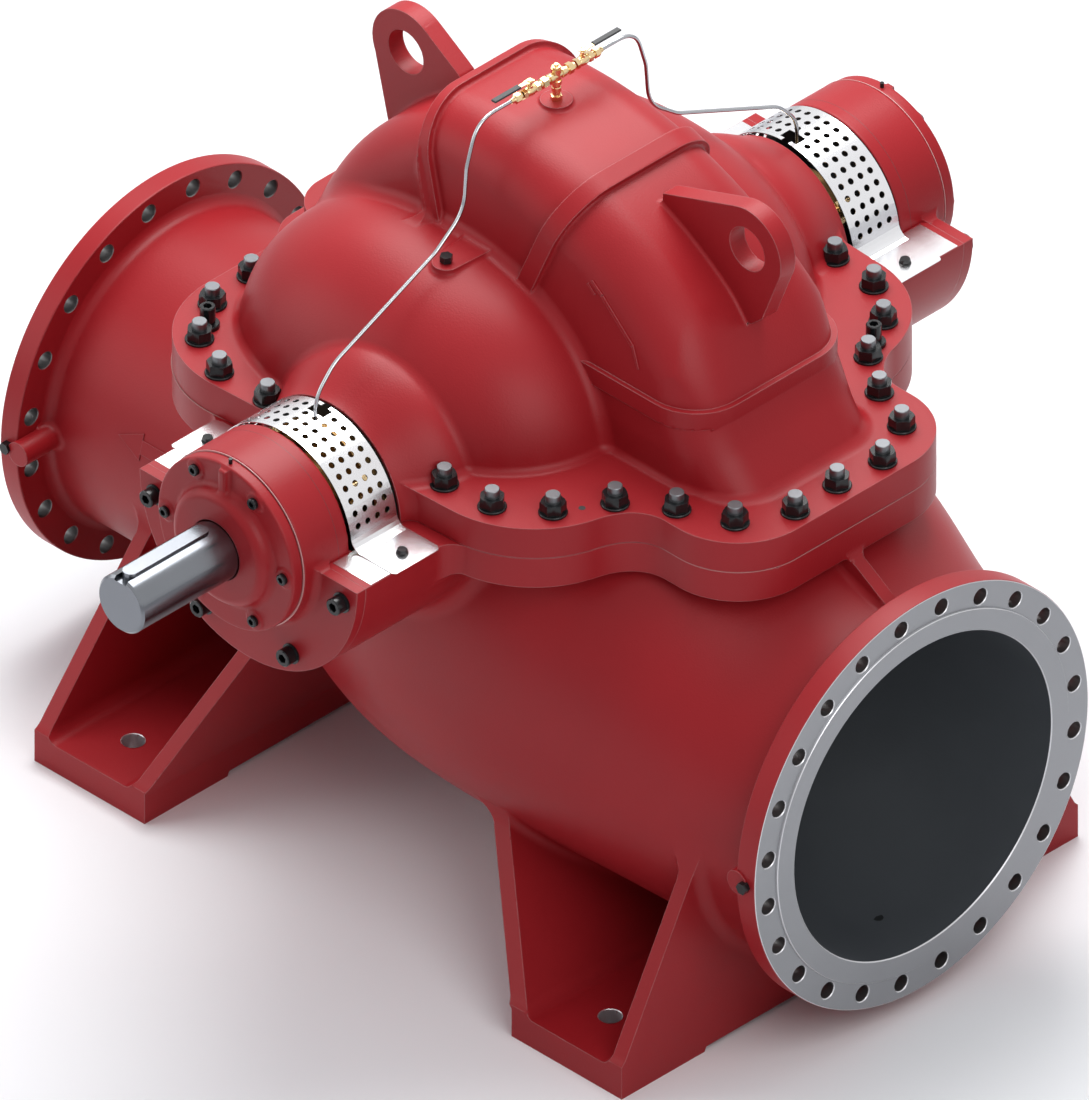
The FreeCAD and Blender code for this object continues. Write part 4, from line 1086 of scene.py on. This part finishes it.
# Guard sheet: flat pattern of cells, each with a round hole, bent over the shaft
GUARD_RADIUS = 188.5
GUARD_TURN = 30.0
GUARD_START = 622.0
GUARD_WIDTH = 124.0
GUARD_REACH = 306.0
GUARD_THICKNESS = 1.6
RAIL_TOP = 2.6
HOLE_PITCH = 26.3
HOLE_ROWS = 4
HOLE_RADIUS = 6.7
HOLES_EACH_WAY = 10


def guard_path(s):
    """Point and outward normal of the sheet at a length from the top of the arch, positive towards +x."""
    sign = 1 if s >= 0 else -1
    s = abs(s)
    rise = RAIL_TOP + GUARD_TURN
    low = math.asin(rise / GUARD_RADIUS)
    arc = GUARD_RADIUS * (math.pi / 2 - low)
    if s <= arc:
        turn = s / GUARD_RADIUS
        normal = (math.sin(turn), math.cos(turn))
        point = (GUARD_RADIUS * normal[0], GUARD_RADIUS * normal[1])
    else:
        x0 = GUARD_RADIUS * math.cos(low)
        swing = math.pi / 2
        bend = GUARD_TURN * swing
        t = s - arc
        if t <= bend:
            turn = t / GUARD_TURN
            point = (x0 + GUARD_TURN * (1 - math.cos(turn)), rise - GUARD_TURN * math.sin(turn))
            normal = (math.cos(turn), math.sin(turn))
        else:
            point, normal = (x0 + GUARD_TURN + t - bend, RAIL_TOP), (0.0, 1.0)
    return (sign * point[0], point[1]), (sign * normal[0], normal[1])


def guard_sheet(side):
    """The sheet from its flat pattern, with a notch in the first row where the flush tube goes in."""
    points, faces = [], []
    pitch, rows, width = HOLE_PITCH, HOLE_ROWS, GUARD_WIDTH
    margin = (width - pitch * rows) / 2

    def vertex(s, across, level):
        (x, z), (nx, nz) = guard_path(s)
        offset = GUARD_THICKNESS / 2 * level
        points.append((x + nx * offset, side * (GUARD_START + across), z + nz * offset))
        return len(points) - 1

    def ring(outer, inner, flip):
        """Both faces and the edge between two rings of (s, across) points."""
        count = len(outer)
        made = {}
        for level in (-1, 1):
            made[level] = [[vertex(s, a, level) for s, a in loop] for loop in (outer, inner)]
        for k in range(count):
            m = (k + 1) % count
            for level in (-1, 1):
                o, i = made[level]
                face = (o[k], o[m], i[m], i[k])
                faces.append(face if (level > 0) == flip else face[::-1])
            top, bottom = made[1][1], made[-1][1]
            face = (top[k], top[m], bottom[m], bottom[k])
            faces.append(face if flip else face[::-1])

    def strip(s0, s1, a0, a1, steps=6):
        for n in range(steps):
            u0, u1 = s0 + (s1 - s0) * n / steps, s0 + (s1 - s0) * (n + 1) / steps
            corners = ((u0, a0), (u1, a0), (u1, a1), (u0, a1))
            top, bottom = ([vertex(u, a, level) for u, a in corners] for level in (1, -1))
            faces.append(tuple(top if side > 0 else top[::-1]))
            faces.append(tuple(bottom[::-1] if side > 0 else bottom))
            for k in range(4):
                m = (k + 1) % 4
                faces.append((top[k], top[m], bottom[m], bottom[k]))

    steps = 16
    for row in range(rows):
        for n in range(-HOLES_EACH_WAY, HOLES_EACH_WAY):
            s_mid, a_mid = (n + 0.5) * pitch, margin + (row + 0.5) * pitch
            outer, inner = [], []
            for k in range(steps):
                turn = 2 * math.pi * k / steps
                c, q = math.cos(turn), math.sin(turn)
                big = pitch / 2 / max(abs(c), abs(q))
                outer.append((s_mid + big * c, a_mid + big * q))
                inner.append((s_mid + HOLE_RADIUS * c, a_mid + HOLE_RADIUS * q))
            if row == 0 and abs(s_mid) < pitch:
                away = 1 if s_mid > 0 else -1
                s_low, s_high = sorted((s_mid + away * pitch / 2, s_mid + away * (pitch / 2 - 4.4)))
                strip(s_low, s_high, a_mid - pitch / 2, a_mid + pitch / 2, 1)
                continue
            ring(outer, inner, side > 0)
    rest = HOLES_EACH_WAY * pitch
    strip(-rest, -9, 0, margin, 20)
    strip(9, rest, 0, margin, 20)
    strip(-rest, rest, width - margin, width, 40)
    low = math.asin((RAIL_TOP + GUARD_TURN) / GUARD_RADIUS)
    total = GUARD_RADIUS * (math.pi / 2 - low) + GUARD_TURN * math.pi / 2
    total += GUARD_REACH - GUARD_RADIUS * math.cos(low) - GUARD_TURN
    corner = 9.0
    for sign in (-1, 1):
        a, b = sorted((sign * rest, sign * (total - corner)))
        strip(a, b, 0, width, 14)
        last = total - corner
        for n in range(4):
            t0, t1 = math.pi / 2 * n / 4, math.pi / 2 * (n + 1) / 4
            inset = corner * (1 - math.cos((t0 + t1) / 2))
            a, b = sorted((sign * (last + corner * math.sin(t0)), sign * (last + corner * math.sin(t1))))
            strip(a, b, inset, width - inset, 1)
    return points, faces


def painted_shade_inside(side):
    """Black surfaces of painted shade in the gland space, seen through the guard."""
    back = lathe([(97, 0), (184.4, 0)], 64, closed=False)
    front = lathe([(72, 0), (184.4, 0)], 64, closed=False)
    points, faces = [], []
    for n in range(33):
        turn = math.pi + math.pi * n / 32
        for y in (613, 755):
            points.append((188.8 * math.cos(turn), side * y, 188.8 * math.sin(turn)))
    for n in range(32):
        faces.append((2 * n, 2 * n + 1, 2 * n + 3, 2 * n + 2))
    return [placed(back, (0, side * 613.2, 0), (0, side, 0)),
            placed(front, (0, side * 751.6, 0), (0, -side, 0)), (points, faces)]


for side, end in ((-1, "drive_end"), (1, "far_end")):
    piece_of(end + "_guard_sheet", [guard_sheet(side)], "casing", STAINLESS,
             [end + "_shaft_guard"], crease=40)
    # Painted shade: black surfaces behind the perforated guard.
    piece_of(end + "_gland_painted_shade", painted_shade_inside(side), "casing", BLACK_COAT_AND_PAINTED_SHADE)
    parts = []
    for x_side in (-1, 1):
        low_x, high_x = sorted((x_side * 191, x_side * 294.5))
        low_y, high_y = sorted((side * 616, side * 800))
        parts.append(block((low_x, low_y, -2), (high_x, high_y, RAIL_TOP - 1.2), 0.5))
    piece_of(end + "_guard_plates", parts, "casing", STAINLESS, [end + "_guard_rails"])
    screw_washer = stack([(12.5, 0), (12.5, 1.5), (11.5, 2)])
    screw_head = stack([(hexed(10.8), 2), (hexed(10.8), 9.5), (chamfered(10.8, 9.6), 11)])
    parts = []
    for x in (-265, 265):
        parts.append(placed(screw_washer, (x, side * 685, RAIL_TOP + 0.6)))
        parts.append(placed(screw_head, (x, side * 685, RAIL_TOP + 0.6), turn=0.4))
    piece_of(end + "_guard_screws", parts, "casing", OXIDE)
    gland_stud = stack([(8, -40), (8, 40)])
    gland_nut = stack([(hexed(15), 0), (hexed(15), 14)])
    parts = []
    for x in (-118, 118):
        for z in (40, 80):
            parts.append(placed(gland_stud, (x, side * 642, z), (0, side, 0)))
            parts.append(placed(gland_nut, (x, side * 641, z), (0, side, 0)))
    piece_of(end + "_gland_studs", parts, "casing", BRASS)


# Manifold on the vent boss
LINE_Z = 656.0
VALVE_Y = 72.0


def fitting(rings, at, axis=(0, 0, 1), turn=0.0):
    return placed(stack(rings), at, axis, turn)


parts = [
    fitting([(hexed(12), 0), (hexed(12), 11), (8, 12), (8, 20), (9.5, 21), (9.5, 30), (8.2, 31), (8.2, 56)],
            (0, 0, VENT_TOP - 1)),
    fitting([(10.5, 0), (10.5, 8), (8.4, 9), (8.4, 26), (10.5, 27), (10.5, 36)], (0, 0, LINE_Z - 18)),
    fitting([(8, 0), (hexed(9.5), 0.5), (hexed(9.5), 5), (5, 5.5), (5, 9), (4.4, 9.6)], (0, 0, LINE_Z + 18)),
]
branch = [(8.4, 0), (8.4, 11), (10.5, 12), (10.5, 21), (8, 22), (8, 30)]
union = [(hexed(12), 0), (hexed(12), 12), (8, 13), (8, 18)]
valve = [(hexed(11), 0), (hexed(11), 9), (8.5, 10.5), (10.4, 16), (10.8, 22), (10.4, 28), (8.5, 33),
         (hexed(11), 35), (hexed(11), 44)]
tube_nut = [(7, 0), (7, 5), (hexed(10.6), 5.5), (hexed(10.6), 17), (7, 19), (5.5, 24), (5.2, 28)]
for way in (-1, 1):
    for rings, y, turn in ((branch, 0, 0.0), (union, 29, 0.3), (valve, 50, 0.2), (tube_nut, 96, 0.5)):
        parts.append(fitting(rings, (0, way * y, LINE_Z), (0, way, 0), turn))
    parts.append(fitting([(6.5, 0), (6.5, 8), (4.5, 9), (4.5, 17)], (0, way * VALVE_Y, LINE_Z + 6)))
piece_of("brass_manifold", parts, "casing", BRASS,
         ["vent_nipple", "flush_tee", "tee_plug", "drive_end_flush_valve", "far_end_flush_valve",
          "drive_end_tube_nut", "far_end_tube_nut"])


def bar(half, way, start, stop, low, high, bevel, look=0):
    """A bar along the line of the fittings, on one side of the vent."""
    low_y, high_y = sorted((way * start, way * stop))
    return block((-half, low_y, LINE_Z + low), (half, high_y, LINE_Z + high), bevel, look)


for way, end in ((-1, "drive_end"), (1, "far_end")):
    parts = [bar(5, way, 82, 104, 22.5, 24.5, 0.6), bar(7, way, 64, 84, 22.5, 24.5, 0.6),
             fitting([(hexed(6.5), 0), (hexed(6.5), 2.6), (3, 3), (3, 3.6)], (0, way * VALVE_Y, LINE_Z + 24)),
             bar(6.4, way, 100, 172, 21.5, 26.5, 1.2, look=1)]
    piece_of(end + "_lever", parts, end + "_lever", [BRASS, BLACK_COAT_AND_PAINTED_SHADE], [end + "_valve_lever"])


def bent_tube(route, bend, radius, sides=12):
    """A round tube along straight runs with bends; route is in the middle plane as (y, z)."""
    line = [Vector((0, *p)) for p in route]
    spots = [line[0]]
    for before, corner, after in zip(line, line[1:], line[2:]):
        back, ahead = (before - corner).normalized(), (after - corner).normalized()
        longest = 0.47 * min((before - corner).length, (corner - after).length)
        reach = min(bend / math.tan(back.angle(ahead) / 2), longest)
        start, stop = corner + back * reach, corner + ahead * reach
        for n in range(9):
            t = n / 8
            spots.append(start * (1 - t) ** 2 + corner * 2 * t * (1 - t) + stop * t ** 2)
    spots.append(line[-1])
    points, faces = [], []
    for n, spot in enumerate(spots):
        way = (spots[min(n + 1, len(spots) - 1)] - spots[max(n - 1, 0)]).normalized()
        across = Vector((1, 0, 0))
        up = way.cross(across)
        for k in range(sides):
            turn = 2 * math.pi * k / sides
            points.append(tuple(spot + (across * math.cos(turn) + up * math.sin(turn)) * radius))
    for n in range(len(spots) - 1):
        for k in range(sides):
            m = (k + 1) % sides
            faces.append((n * sides + k, (n + 1) * sides + k, (n + 1) * sides + m, n * sides + m))
    return points, faces


FLUSH_ROUTE = [(98, LINE_Z), (215, LINE_Z), (244, 560), (252, 462), (330, 402), (605, 280), (655, 225),
               (657, 160)]
for way, end in ((-1, "drive_end"), (1, "far_end")):
    tube = bent_tube([(way * y, z) for y, z in FLUSH_ROUTE], 90.0, 4.0)
    if way < 0:
        tube = (tube[0], [face[::-1] for face in tube[1]])
    piece_of(end + "_flush_line", [tube], "casing", TUBE_STEEL, [end + "_flush_tube"], crease=60)


# Raised arrows: flow on the discharge nozzle, turning on the side of the band
ARROW_HEIGHT = 2.5
NOZZLE_OUTER = 336.0


def raised(outlines, place):
    """Flat shapes standing on a surface; place(u, v) gives the point there and its outward normal."""
    points, faces = [], []
    for corners in outlines:
        start, count = len(points), len(corners)
        spots = [place(u, v) for u, v in corners]
        for height in (ARROW_HEIGHT, -3.0):
            points += [tuple(a + height * b for a, b in zip(*spot)) for spot in spots]
        faces.append(tuple(range(start, start + count)))
        for k in range(count):
            m = (k + 1) % count
            faces.append((start + k, start + count + k, start + count + m, start + m))
    return points, faces


def on_nozzle(x, around):
    """A place on the discharge nozzle, the angle taken from the top towards the drive end."""
    turn = math.radians(around)
    normal = (0.0, -math.sin(turn), math.cos(turn))
    return (x, NOZZLE_OUTER * normal[1], NOZZLE_Z + NOZZLE_OUTER * normal[2]), normal


def on_band(x, z):
    """A place on the side of the band at the drive end."""
    y = -260.0
    for _ in range(40):
        y += float(upper_field(np.array([x]), np.array([y]), np.array([z]))[0])
    return (x, y, z), (0.0, -1.0, 0.0)


FLOW_ARROW = [
    [(-866, 75.5), (-804, 70.6), (-804, 80.4)],
    [(-804, 73), (-650, 73), (-650, 78), (-804, 78)]]
TURN_ARROW = [
    [(326, 400), (332, 404), (420, 333), (415, 327)],
    [(297, 421), (301, 424), (330, 405), (326, 400)],
    [(288, 410), (291, 414), (312, 398), (308, 394)],
    [(415, 330), (420, 333), (438, 288), (434, 286)]]
piece_of("flow_arrow", [raised(FLOW_ARROW, on_nozzle)], "casing", RED_SMALL)
piece_of("turning_arrow", [raised(TURN_ARROW, on_band)], "casing", RED_SMALL)

# Bare rims of the foundation bolt holes, and a dowel hole in the split flange drawn as a black disc of
# painted shade
# The rims are bare steel, paler still as a painted highlight.
rim = lathe([(FOUNDATION_HOLE, 30), (FOUNDATION_HOLE, 61.5), (24.6, 63.0)], 32, closed=False)
corners = itertools.product((-FOUNDATION_X, FOUNDATION_X), (-FOUNDATION_Y, FOUNDATION_Y))
piece_of("foundation_hole_rims", [placed(rim, (x, y, GROUND)) for x, y in corners], "casing", BARE_EDGE_AND_HIGHLIGHT)
# Black discs of painted shade for the dowel holes.
dowel = stack([(7, 0), (7, 0.5)], 16)
dowels = [placed(dowel, (x, y, FLANGE_TOP)) for x, y in ((470, -400), (-470, 400))]
piece_of("dowel_hole_painted_shade", dowels, "casing", BLACK_COAT_AND_PAINTED_SHADE)


# Studio
WORLD_LOW = 0.06
WORLD_TOP = 0.60
WORLD_BACK = 0.32


def studio():
    """A pale floor, and a world that is white to the eye and softer as a light, brighter above and behind."""
    bpy.ops.mesh.primitive_plane_add(size=60, location=(0, 0, 0))
    floor = bpy.context.object
    floor.name = "studio_floor"
    pale = bpy.data.materials.new("studio_pale")
    pale.use_nodes = True
    tree = pale.node_tree
    shader = tree.nodes["Principled BSDF"]
    shader.inputs["Base Color"].default_value = (0.92, 0.92, 0.93, 1)
    shader.inputs["Roughness"].default_value = 0.9
    floor.data.materials.append(pale)
    world = bpy.data.worlds.new("studio_world")
    bpy.context.scene.world = world
    world.use_nodes = True
    tree = world.node_tree
    background = tree.nodes["Background"]
    background.inputs["Color"].default_value = (0.93, 0.95, 1.0, 1)
    place = tree.nodes.new("ShaderNodeTexCoord")
    split = tree.nodes.new("ShaderNodeSeparateXYZ")
    tree.links.new(place.outputs["Generated"], split.inputs["Vector"])

    def step(source, low, high, amount):
        ramp = ranged(tree, source, From_Min=low, From_Max=high, To_Min=0.0, To_Max=amount)
        ramp.interpolation_type = "SMOOTHSTEP"
        return ramp.outputs["Result"]

    away = combined(tree, "SUBTRACT", split.outputs["Y"], split.outputs["X"])
    level = combined(tree, "ADD", step(split.outputs["Z"], 0.15, 0.9, WORLD_TOP), WORLD_LOW)
    level = combined(tree, "ADD", level, step(away, -0.1, 1.2, WORLD_BACK))
    tree.links.new(level, background.inputs["Strength"])
    seen = tree.nodes.new("ShaderNodeBackground")
    seen.inputs["Color"].default_value = (1, 1, 1, 1)
    seen.inputs["Strength"].default_value = 1.0
    path = tree.nodes.new("ShaderNodeLightPath")
    direct = combined(tree, "ADD", path.outputs["Is Glossy Ray"], path.outputs["Is Transmission Ray"])
    direct = combined(tree, "ADD", direct, path.outputs["Is Camera Ray"])
    mix = tree.nodes.new("ShaderNodeMixShader")
    tree.links.new(direct, mix.inputs["Fac"])
    tree.links.new(background.outputs["Background"], mix.inputs[1])
    tree.links.new(seen.outputs["Background"], mix.inputs[2])
    tree.links.new(mix.outputs["Shader"], tree.nodes["World Output"].inputs["Surface"])


def soft_light(name, place, target, size, power):
    lamp = bpy.data.lights.new(name, "AREA")
    lamp.size = size
    lamp.energy = power
    holder = linked(name, lamp)
    holder.location = place
    holder.rotation_euler = (Vector(target) - Vector(place)).to_track_quat("-Z", "Y").to_euler()


def camera():
    """The photo's true isometric view, without perspective."""
    sight = bpy.data.cameras.new("sight")
    sight.type = "ORTHO"
    sight.ortho_scale = 2.1193
    sight.clip_end = 30
    holder = linked("sight", sight)
    aim = Vector((0.0478, -0.080, 0.650))
    back = Vector((1, -1, 1)).normalized()
    holder.location = aim + back * 8
    holder.rotation_mode = "QUATERNION"
    holder.rotation_quaternion = (-back).to_track_quat("-Z", "Y")
    bpy.context.scene.camera = holder


studio()
soft_light("top_light", (-1.0, 1.0, 4.2), (0, 0, 0.9), 2.9, 185)
soft_light("key_light", (3.2, -1.2, 3.0), (0, 0, 0.8), 2.4, 48)
soft_light("left_light", (-3.0, -3.0, 2.2), (0, 0, 0.8), 2.5, 34)
camera()
bpy.context.scene.view_settings.view_transform = "Standard"
